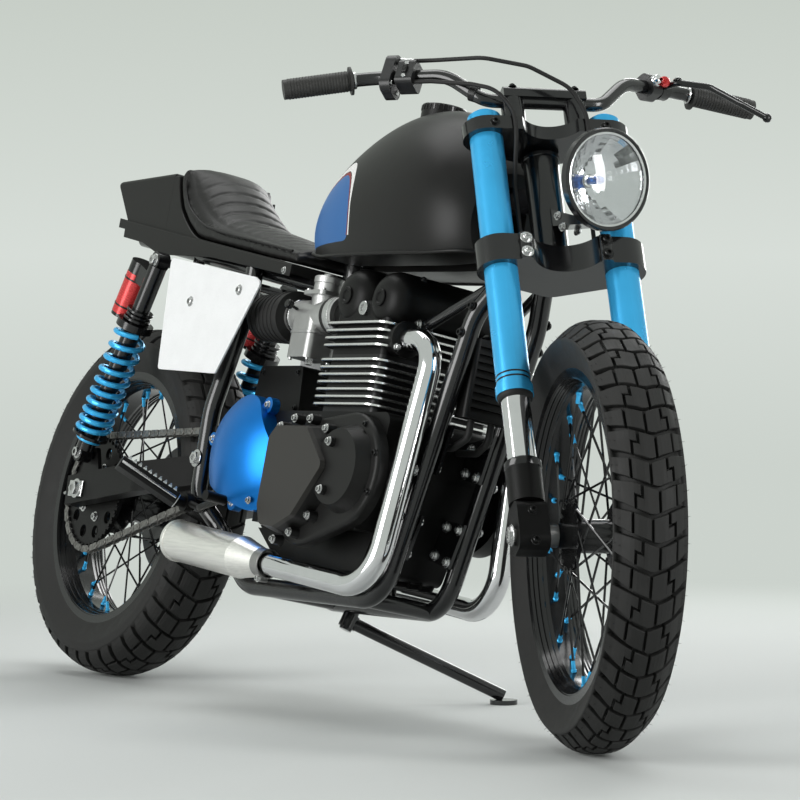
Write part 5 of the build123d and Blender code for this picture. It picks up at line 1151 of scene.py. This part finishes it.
for side in (1, -1):
    for k in range(20):
        pose = bar_pose(-(38 + 5.0 * k), side, GRIP_RUN)
        fork_kit.ring("grip_rubber", pose.translation, pose.col[2].to_3d(), 16.3, 3.2, 1.0)
    pose = bar_pose(-24, side, GRIP_RUN)
    fork_kit.ring("bolt_steel", pose.translation, pose.col[2].to_3d(), 11.0, 5.0, 3.6)
throttle = bar_pose(52, -1)
adjuster = ((4.0, 0), (6.0, 0.5), (6.0, 7), (4.6, 8), (4.6, 20), (3.7, 21), (3.7, 25))
fork_kit.put("bolt_steel", turned_shape(adjuster, 16), throttle @ frame_on((6, 29, 0), (0, 0, -1)))
for x, y in ((-14, -22), (14, -22), (-14, 22)):
    fork_kit.put("bolt_steel", turned_shape(((0, 1.6), (3.6, 1.6), (4.2, 0.6), (4.2, -0.5)), 14),
                 throttle @ frame_on((x, y, 0), (0, 0, -1)))
switches = bar_pose(88, -1)
for y in (-13, 13):
    fork_kit.put("bolt_steel", turned_shape(((0, 1.6), (3.4, 1.6), (4.0, 0.6), (4.0, -0.5)), 14),
                 switches @ frame_on((21, y, 15), (1, 0, 0)))
rocker = prism_shape([(-7, -4), (7, -4), (7, 4), (-7, 4)], 4.0, 1.0)
fork_kit.put("bolt_black", rocker, switches @ frame_on((21, 0, 15), (1, 0, 0), (0, 1, 0)))
buttons = bar_pose(88, 1)
push = ((0, 10), (6.5, 10), (8, 8.5), (8, 3), (10.5, 3), (11, 0), (11, -1))
fork_kit.put("polished", turned_shape(push, 24), buttons @ frame_on((18, 0, 13), (1, 0, 0)))
perch = bar_pose(44, 1)
red_wheel = ((3.4, -3), (8.2, -2.6), (9.0, -1.4), (9.0, 5), (8.2, 6.2), (4.4, 6.8), (4.2, 16), (3.2, 17))
fork_kit.put("red_metal", turned_shape(red_wheel, 20), perch @ frame_on((24, 4, -14), (0.3, 0, -1)))
fork_kit.bolt("bolt_steel", (16, 248, 1197.5), (0, 0, 1), 5.0, 4.0)
# Clips that hold the cables on the bar and beside the clamp
fork_kit.ring("bolt_black", (46, -112, 1133), (0.35, 0.8, -0.5), 11.2, 12.0, 2.5)
fork_kit.close()


# Seat pad: a thin dished pad with a raised back, swollen leather, sewn cross ribs and a smooth rim
# Its lines are X, Z from the front to the top of the back
TO_BIKE = STANCE.inverted()
PAD_LOW = (
    (595, 757.5), (427, 784.5), (330, 800.5), (265, 811.0), (205, 826), (144, 870), (117, 912), (106, 944),
)
PAD_EDGE = ((589, 779), (421, 807), (334, 821), (286, 830), (228, 845), (171, 876), (143, 908), (127, 956))
PAD_CREST = ((589, 796), (425, 835), (345, 853), (299, 867), (255, 896), (208, 932), (166, 960), (125, 971))
PAD_HALF = 98.0
RIB_PITCH = 33.0
PAD_SMOOTHING = 8
PAD_VOXEL = 0.005
PAD_TRAVEL = 0.006
RIM_SHRINK = 0.0006
TOP_SHRINK = 0.003
RIB_DEPTH = 5.0
RIB_EDGE = 81.0
SEAM_DEPTH = 2.8
SEAM_Y = 83.0
SEAM_WIDTH = 3.4
CLOTH_FRAMES = 20


def pad_stations():
    """Low edge, upper edge and crest of the pad from its front to the top of its back."""
    lines = [curve_through([(x, 0, z) for x, z in line], 7) for line in (PAD_LOW, PAD_EDGE, PAD_CREST)]
    return list(zip(*lines))


def pad_mesh():
    """A fine even mesh of the pad, in the shared frame."""
    verts = []
    stations = pad_stations()
    for low, edge, crest in stations:
        loop_points = [low + Vector((0, PAD_HALF * (-0.96 + 1.92 * k / 20), 0)) for k in range(21)]
        loop_points.append(low.lerp(edge, 0.5) + Vector((0, PAD_HALF, 0)))
        for k in range(31):
            v = 0.97 - 1.94 * k / 30
            loop_points.append(edge.lerp(crest, 1 - abs(v) ** 3.4) + Vector((0, PAD_HALF * v, 0)))
        loop_points.append(low.lerp(edge, 0.5) - Vector((0, PAD_HALF, 0)))
        verts += loop_points
    n = len(verts) // len(stations)
    faces = bridged(len(stations), n)
    faces.append(tuple(reversed(range(n))))
    faces.append(tuple(range((len(stations) - 1) * n, len(stations) * n)))
    shell = from_data("pad_shell", verts, faces)
    face_out(shell)
    shell.transform(STANCE)
    copy = bpy.data.objects.new("pad_grid", shell)
    scene.collection.objects.link(copy)
    grid = copy.modifiers.new("grid", "REMESH")
    grid.mode = "VOXEL"
    grid.voxel_size = PAD_VOXEL
    depsgraph = bpy.context.evaluated_depsgraph_get()
    mesh = bpy.data.meshes.new_from_object(copy.evaluated_get(depsgraph))
    bpy.data.objects.remove(copy)
    bm = bmesh.new()
    bm.from_mesh(mesh)
    every_way = dict(use_axis_x=True, use_axis_y=True, use_axis_z=True)
    for turn in range(PAD_SMOOTHING):
        bmesh.ops.smooth_vert(bm, verts=bm.verts, factor=0.5, **every_way)
    bm.to_mesh(mesh)
    bm.free()
    return mesh


def pad_place(spot, stations):
    """Height over the low edge, thickness and share along the pad of a point in bike millimetres."""
    flat = Vector((spot.x, 0, spot.z))
    gaps = [((low + edge) / 2 - flat).length_squared for low, edge, crest in stations]
    best = gaps.index(min(gaps))
    low, edge, crest = stations[best]
    way = (edge - low).normalized()
    return (flat - low).dot(way), (edge - low).length, best / (len(stations) - 1), way


def crest_run(spot, crest, runs):
    """Distance along the pad's crest of a point in bike millimetres."""
    flat = Vector((spot.x, 0, spot.z))
    best = min(range(1, len(crest) - 1), key=lambda i: (crest[i] - flat).length_squared)
    return runs[best] + (flat - crest[best]).dot((crest[best + 1] - crest[best - 1]).normalized())


def swell(obj, pin, travel):
    """Blow the pad up as cloth held at its base, and keep each point within its travel."""
    rest = [v.co.copy() for v in obj.data.vertices]
    cloth = obj.modifiers.new("cloth", "CLOTH")
    settings = cloth.settings
    settings.quality = 5
    settings.mass = 0.25
    settings.tension_stiffness = 18
    settings.compression_stiffness = 18
    settings.bending_stiffness = 4.0
    settings.use_pressure = True
    settings.uniform_pressure_force = 4.0
    settings.effector_weights.gravity = 0.0
    settings.vertex_group_mass = pin
    cloth.collision_settings.use_collision = False
    cloth.point_cache.frame_start = 1
    cloth.point_cache.frame_end = CLOTH_FRAMES
    for number in range(1, CLOTH_FRAMES + 1):
        scene.frame_set(number)
    depsgraph = bpy.context.evaluated_depsgraph_get()
    swollen = obj.evaluated_get(depsgraph).to_mesh()
    moved = [v.co.copy() for v in swollen.vertices]
    obj.evaluated_get(depsgraph).to_mesh_clear()
    obj.modifiers.remove(cloth)
    for vertex, before, after in zip(obj.data.vertices, rest, moved):
        step = after - before
        if step.length > travel:
            step = step.normalized() * travel
        vertex.co = before + step
    scene.frame_set(1)


def make_seat():
    """The leather pad with its sewn ribs and rim seam."""
    mesh = pad_mesh()
    pad = bpy.data.objects.new("leather_pad", mesh)
    scene.collection.objects.link(pad)
    mesh.materials.clear()
    mesh.materials.append(FINISH["leather"])
    stations = pad_stations()
    held = pad.vertex_groups.new(name="base")
    base = []
    normals = [v.normal.copy() for v in mesh.vertices]
    for vertex, normal in zip(mesh.vertices, normals):
        height, thick, share, way = pad_place(TO_BIKE @ vertex.co, stations)
        low = height < thick * 0.9
        if low:
            base.append(vertex.index)
        vertex.co -= normal * (RIM_SHRINK if low else TOP_SHRINK)
    held.add(base, 1.0, "REPLACE")
    swell(pad, "base", PAD_TRAVEL)
    pad.vertex_groups.clear()
    crest = [station[2] for station in stations]
    runs = [0.0]
    for before, after in zip(crest, crest[1:]):
        runs.append(runs[-1] + (after - before).length)
    for vertex in mesh.vertices:
        spot = TO_BIKE @ vertex.co
        normal = TO_BIKE.to_3x3() @ vertex.normal
        normal.normalize()
        height, thick, share, way = pad_place(spot, stations)
        facing = max(0.0, normal.dot(way))
        border = min(1.0, max(0.0, (RIB_EDGE - abs(spot.y)) / 9.0))
        ends = min(1.0, max(0.0, (share - 0.03) / 0.04)) * min(1.0, max(0.0, (0.95 - share) / 0.1))
        row = abs((crest_run(spot, crest, runs) / RIB_PITCH + 0.5) % 1.0 - 0.5) * 2
        groove = max(0.0, 1 - row / 0.4) ** 1.5
        on_top = 1.0 if height > thick * 0.7 and facing > 0.25 else 0.0
        crease = RIB_DEPTH * groove * border * ends * facing * on_top
        seam = SEAM_DEPTH * math.exp(-((abs(spot.y) - SEAM_Y) / SEAM_WIDTH) ** 2) * facing * on_top
        spot -= normal * (crease + seam)
        vertex.co = STANCE @ spot
    mesh.shade_smooth()
    fine = pad.modifiers.new("fine", "SUBSURF")
    fine.levels = 1
    fine.render_levels = 1
    depsgraph = bpy.context.evaluated_depsgraph_get()
    pad.data = bpy.data.meshes.new_from_object(pad.evaluated_get(depsgraph))
    pad.modifiers.clear()
    pad.data.shade_smooth()
    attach(pad, "chassis")
    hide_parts("seat_pad")


def leather():
    """Black hide: fine creases, soft sheen."""
    material, tree, shader = principled("seat_leather")
    patch = noise(tree, 30.0, detail=6.0)
    tint = ramp(tree, patch.outputs["Fac"], ((0.3, (0.0062, 0.006, 0.0058)), (0.7, (0.0105, 0.0102, 0.0098))))
    tree.links.new(tint.outputs["Color"], shader.inputs["Base Color"])
    place = tree.nodes.new("ShaderNodeTexCoord")
    cells = tree.nodes.new("ShaderNodeTexVoronoi")
    cells.inputs["Scale"].default_value = 620.0
    tree.links.new(place.outputs["Object"], cells.inputs["Vector"])
    gloss = spread(tree, patch.outputs["Fac"], 0.36, 0.48)
    shader.inputs["Specular IOR Level"].default_value = 0.3
    tree.links.new(gloss.outputs["Result"], shader.inputs["Roughness"])
    bump(tree, shader, cells.outputs["Distance"], 0.35, 0.0004)
    return material


FINISH["leather"] = leather()
make_seat()

# Tail: the fairing that carries the pad's raised back, and a skirt along each side of the lip
tail_kit = Kit("tail_trim", "chassis", STANCE)
FAIRING_HALF = 96.9
SKIRT_Y = 105.6
SKIRT_THICKNESS = 2.5
WELT_Y = 97.0


def upright_plane(y):
    """A placement that stands an X, Z outline up, with its depth running right from y."""
    return Matrix(((1, 0, 0, 0), (0, 0, -1, y), (0, 1, 0, 0), (0, 0, 0, 1)))


cradle = [(p.x, p.z - 1.6) for p in curve_through([(x, 0, z) for x, z in PAD_LOW[2:]], 8)]
fairing = [(78, 834), (PAD_LOW[2][0], 796)] + cradle + [(84, 944)]
tail_kit.put("tank_black", prism_shape(fairing, 2 * FAIRING_HALF, 1.2), upright_plane(FAIRING_HALF))
skirt = [
    (-62, 843), (-61, 829), (21, 815), (94, 789), (300, 777),
    (470, 752), (593, 733), (595.5, 754), (-62, 861),
]
for edge in (SKIRT_Y, SKIRT_THICKNESS - SKIRT_Y):
    tail_kit.put("tank_black", prism_shape(skirt, SKIRT_THICKNESS, 0.7), upright_plane(edge))
WELT_TOP = ((136, 932),)
for side in (1, -1):
    welt = curve_through([(x, side * WELT_Y, z) for x, z in PAD_EDGE[:-1] + WELT_TOP], 8)[1:]
    tail_kit.swept("rubber", welt, round_section(2.4, 8))
tail_kit.close()


def bike_parts(tree):
    """X, Y and Z of a point of the chassis in bike millimetres."""
    place = tree.nodes.new("ShaderNodeTexCoord")
    turn = tree.nodes.new("ShaderNodeMapping")
    turn.inputs["Location"].default_value = TO_BIKE.translation
    turn.inputs["Rotation"].default_value = TO_BIKE.to_3x3().normalized().to_euler()
    turn.inputs["Scale"].default_value = (1 / MM, 1 / MM, 1 / MM)
    tree.links.new(place.outputs["Object"], turn.inputs["Vector"])
    parts = tree.nodes.new("ShaderNodeSeparateXYZ")
    tree.links.new(turn.outputs["Vector"], parts.inputs["Vector"])
    return parts


# Tank paint: satin black with a blue panel at the rear of each side, lined in white and red
def tank_paint():
    """Colours by place on the tank, in bike millimetres."""
    material, tree, shader = principled("tank_paint")
    nodes = tree.nodes
    links = tree.links
    parts = bike_parts(tree)

    def math_node(operation, a, b=None):
        node = nodes.new("ShaderNodeMath")
        node.operation = operation
        for socket, value in zip(node.inputs, (a, b)):
            if value is None:
                continue
            if isinstance(value, (int, float)):
                socket.default_value = value
            else:
                links.new(value, socket)
        return node.outputs["Value"]

    along = parts.outputs["X"]
    height = parts.outputs["Z"]

    def smooth_most(a, b, blend):
        value = math_node("SMOOTH_MAX", a, b)
        value.node.inputs[2].default_value = blend
        return value

    def mixed(share, under, over):
        node = nodes.new("ShaderNodeMix")
        node.data_type = "RGBA"
        links.new(share, node.inputs["Factor"])
        if isinstance(under, tuple):
            node.inputs[6].default_value = (*under, 1)
        else:
            links.new(under, node.inputs[6])
        node.inputs[7].default_value = (*over, 1)
        return node.outputs[2]

    # Distance outside the panel: past its bowed front edge, its rising upper edge, its foot and its inner end
    drop = math_node("SUBTRACT", height, PANEL_BELLY[1])
    bow = math_node("MULTIPLY", math_node("MULTIPLY", drop, drop), PANEL_BOW)
    ahead = math_node("ADD", math_node("SUBTRACT", along, PANEL_BELLY[0]), bow)
    rise = math_node("MULTIPLY", math_node("SUBTRACT", along, PANEL_TOP[0]), PANEL_RISE)
    above = math_node("SUBTRACT", math_node("SUBTRACT", height, PANEL_TOP[1]), rise)
    below = math_node("SUBTRACT", PANEL_FOOT, height)
    inside = math_node("SUBTRACT", PANEL_INNER, math_node("ABSOLUTE", parts.outputs["Y"]))
    away = smooth_most(smooth_most(smooth_most(ahead, above, 84.0), below, 24.0), inside, 12.0)
    # The lines are broad above and taper down the front edge
    broad = math_node("DIVIDE", math_node("SUBTRACT", height, LINE_TAPER[0]), LINE_TAPER[1])
    broad.node.use_clamp = True
    panel = math_node("LESS_THAN", away, 1.0)
    red_from = math_node("SUBTRACT", -1.2, math_node("MULTIPLY", broad, 4.5))
    lined = math_node("GREATER_THAN", height, PANEL_FOOT + 8.0)
    red = math_node("MULTIPLY", panel, math_node("GREATER_THAN", away, red_from))
    red = math_node("MULTIPLY", red, lined)
    white_to = math_node("ADD", math_node("MULTIPLY", broad, 12.0), 6.2)
    past_red = math_node("GREATER_THAN", away, 2.4)
    white = math_node("MULTIPLY", past_red, math_node("LESS_THAN", away, white_to))
    white = math_node("MULTIPLY", white, lined)
    ground = mixed(panel, (0.0092, 0.009, 0.0085), (0.032, 0.125, 0.33))
    ground = mixed(red, ground, (0.20, 0.022, 0.024))
    ground = mixed(white, ground, (0.76, 0.76, 0.74))
    links.new(ground, shader.inputs["Base Color"])
    fine = noise(tree, 3000.0)
    gloss = spread(tree, fine.outputs["Fac"], 0.34, 0.42)
    shader.inputs["Specular IOR Level"].default_value = 0.2
    links.new(gloss.outputs["Result"], shader.inputs["Roughness"])
    return material


PANEL_BELLY = (786.0, 812.0)
PANEL_BOW = 0.0036
PANEL_TOP = (673.0, 892.0)
PANEL_RISE = 0.5
PANEL_FOOT = 788.0
PANEL_INNER = 40.0
LINE_TAPER = (850.0, 80.0)
FINISH["tank_paint"] = tank_paint()
paint("fuel_tank", "tank_paint")


# Clutch cover paint: grey on the raised shield, black on the rest
def clutch_paint():
    """Two tones by distance out from the engine, in bike millimetres."""
    material, tree, shader = principled("clutch_paint")
    parts = bike_parts(tree)
    out = tree.nodes.new("ShaderNodeMapRange")
    out.inputs["From Min"].default_value = SHIELD_FACE[0]
    out.inputs["From Max"].default_value = SHIELD_FACE[1]
    tree.links.new(parts.outputs["Y"], out.inputs["Value"])
    tint = ramp(tree, out.outputs["Result"], ((0.0, (0.0058, 0.0056, 0.0053)), (1.0, (0.032, 0.0305, 0.028))))
    tree.links.new(tint.outputs["Color"], shader.inputs["Base Color"])
    fine = noise(tree, 3200.0)
    gloss = spread(tree, fine.outputs["Fac"], 0.38, 0.48)
    tree.links.new(gloss.outputs["Result"], shader.inputs["Roughness"])
    shader.inputs["Specular IOR Level"].default_value = 0.24
    bump(tree, shader, fine.outputs["Fac"], 0.6, 0.00006)
    return material


SHIELD_FACE = (-164.5, -166.5)
FINISH["clutch_paint"] = clutch_paint()
paint("clutch_cover", "clutch_paint")


# Studio: floor sweeping up into a backdrop, soft lights and the camera
def shown_rays(tree):
    """1 for camera, glossy and transmission rays, 0 for the rest."""
    rays = tree.nodes.new("ShaderNodeLightPath")
    total = rays.outputs["Is Camera Ray"]
    for kind in ("Is Glossy Ray", "Is Transmission Ray"):
        add = tree.nodes.new("ShaderNodeMath")
        add.use_clamp = True
        tree.links.new(total, add.inputs[0])
        tree.links.new(rays.outputs[kind], add.inputs[1])
        total = add.outputs["Value"]
    return total


def studio():
    """A pale seamless floor and backdrop; far from the object the paper glows, with painted light that is
    brighter partway up and darker at the floor and the top.
    """
    material, tree, shader = principled("studio_paper")
    nodes = tree.nodes
    links = tree.links
    clouds = noise(tree, 0.6, detail=2.0)
    tint = ramp(tree, clouds.outputs["Fac"], ((0.3, (0.63, 0.66, 0.64)), (0.7, (0.66, 0.69, 0.67))))
    links.new(tint.outputs["Color"], shader.inputs["Base Color"])
    shader.inputs["Roughness"].default_value = 0.9
    place = nodes.new("ShaderNodeTexCoord")
    parts = nodes.new("ShaderNodeSeparateXYZ")
    links.new(place.outputs["Object"], parts.inputs["Vector"])
    far = nodes.new("ShaderNodeMapRange")
    far.interpolation_type = "SMOOTHSTEP"
    far.inputs["From Min"].default_value = 1.4
    far.inputs["From Max"].default_value = 3.6
    radius = nodes.new("ShaderNodeVectorMath")
    radius.operation = "LENGTH"
    links.new(place.outputs["Object"], radius.inputs[0])
    links.new(radius.outputs["Value"], far.inputs["Value"])
    lift = nodes.new("ShaderNodeMapRange")
    lift.inputs["From Max"].default_value = 4.2
    links.new(parts.outputs["Z"], lift.inputs["Value"])
    # Painted light on the far paper: its glow is brightest partway up and darker at the floor and at the top
    painted_backdrop_light = ramp(tree, lift.outputs["Result"], ((0.0, (0.60, 0.645, 0.605)), (0.35, (0.68, 0.725, 0.685)),
                                               (1.0, (0.54, 0.585, 0.535))))
    glow = nodes.new("ShaderNodeEmission")
    links.new(painted_backdrop_light.outputs["Color"], glow.inputs["Color"])
    shown = shown_rays(tree)
    share = nodes.new("ShaderNodeMath")
    share.operation = "MULTIPLY"
    links.new(shown, share.inputs[0])
    links.new(far.outputs["Result"], share.inputs[1])
    blend = nodes.new("ShaderNodeMixShader")
    links.new(share.outputs["Value"], blend.inputs["Fac"])
    links.new(shader.outputs["BSDF"], blend.inputs[1])
    links.new(glow.outputs["Emission"], blend.inputs[2])
    links.new(blend.outputs["Shader"], nodes["Material Output"].inputs["Surface"])
    reach = 20.0
    bend = 5.3
    half_width = 31.0
    stations = [(reach, 0.0)] + [(4.0 - 2.0 * k, 0.0) for k in range(5)] + [(-reach + bend, 0.0)]
    for k in range(1, 17):
        angle = math.pi / 2 * k / 16
        stations.append((-reach + bend - bend * math.sin(angle), bend - bend * math.cos(angle)))
    stations.append((-reach, reach))
    verts = []
    faces = []
    for along, up in stations:
        for side in (-half_width, half_width):
            verts.append((along, side, up))
    for i in range(len(stations) - 1):
        faces.append((2 * i, 2 * i + 1, 2 * i + 3, 2 * i + 2))
    mesh = from_data("studio_sweep", verts, faces)
    mesh.materials.append(material)
    mesh.shade_smooth()
    sweep = bpy.data.objects.new("studio_sweep", mesh)
    scene.collection.objects.link(sweep)
    sweep.rotation_euler = (0, 0, math.radians(-32.8))


studio()

VIEW = Vector((-0.8405, 0.5418, -0.0080)).normalized()
RIGHT = Vector((0.5418, 0.8405, 0.0)).normalized()


def soft_light(name, position, target, size, power):
    """A rectangular soft light that faces a point."""
    data = bpy.data.lights.new(name, "AREA")
    data.shape = "RECTANGLE"
    data.size, data.size_y = size
    data.energy = power
    lamp = bpy.data.objects.new(name, data)
    scene.collection.objects.link(lamp)
    lamp.location = position
    away = Vector(position) - Vector(target)
    lamp.rotation_euler = away.to_track_quat("Z", "Y").to_euler()


CENTRE = Vector((0.0, 0.0, 0.55))
soft_light("overhead", (-0.9, 0.7, 4.0), (0, 0, 0.4), (4.0, 2.0), 75)
RAISED = CENTRE + Vector((0, 0, 0.9))
soft_light("left_bank", RAISED - VIEW * 2.2 - RIGHT * 3.4, CENTRE, (2.6, 3.0), 150)
soft_light("right_strip", RAISED - VIEW * 2.6 + RIGHT * 3.0, CENTRE, (0.8, 2.6), 62)
soft_light("rear_bank", (-2.2, 3.6, 1.9), CENTRE, (2.4, 2.4), 85)

world = bpy.data.worlds.new("studio_air")
world.use_nodes = True
air = world.node_tree
fill = air.nodes["Background"]
fill.inputs["Color"].default_value = (0.80, 0.83, 0.82, 1)
fill.inputs["Strength"].default_value = 0.18
paper = air.nodes.new("ShaderNodeBackground")
paper.inputs["Color"].default_value = (0.60, 0.645, 0.605, 1)
air_blend = air.nodes.new("ShaderNodeMixShader")
air.links.new(shown_rays(air), air_blend.inputs["Fac"])
air.links.new(fill.outputs["Background"], air_blend.inputs[1])
air.links.new(paper.outputs["Background"], air_blend.inputs[2])
air.links.new(air_blend.outputs["Shader"], air.nodes["World Output"].inputs["Surface"])
scene.world = world

camera_data = bpy.data.cameras.new("camera")
camera_data.lens = 142.26
camera_data.sensor_width = 36.0
camera_data.clip_end = 60.0
camera = bpy.data.objects.new("camera", camera_data)
scene.collection.objects.link(camera)
back = -VIEW
up = back.cross(RIGHT).normalized()
side = up.cross(back).normalized()
pose = Matrix((side, up, back)).transposed().to_4x4()
pose.translation = Vector((4.5897, -2.7775, 0.571))
camera.matrix_world = pose
scene.camera = camera
scene.view_settings.view_transform = "Standard"
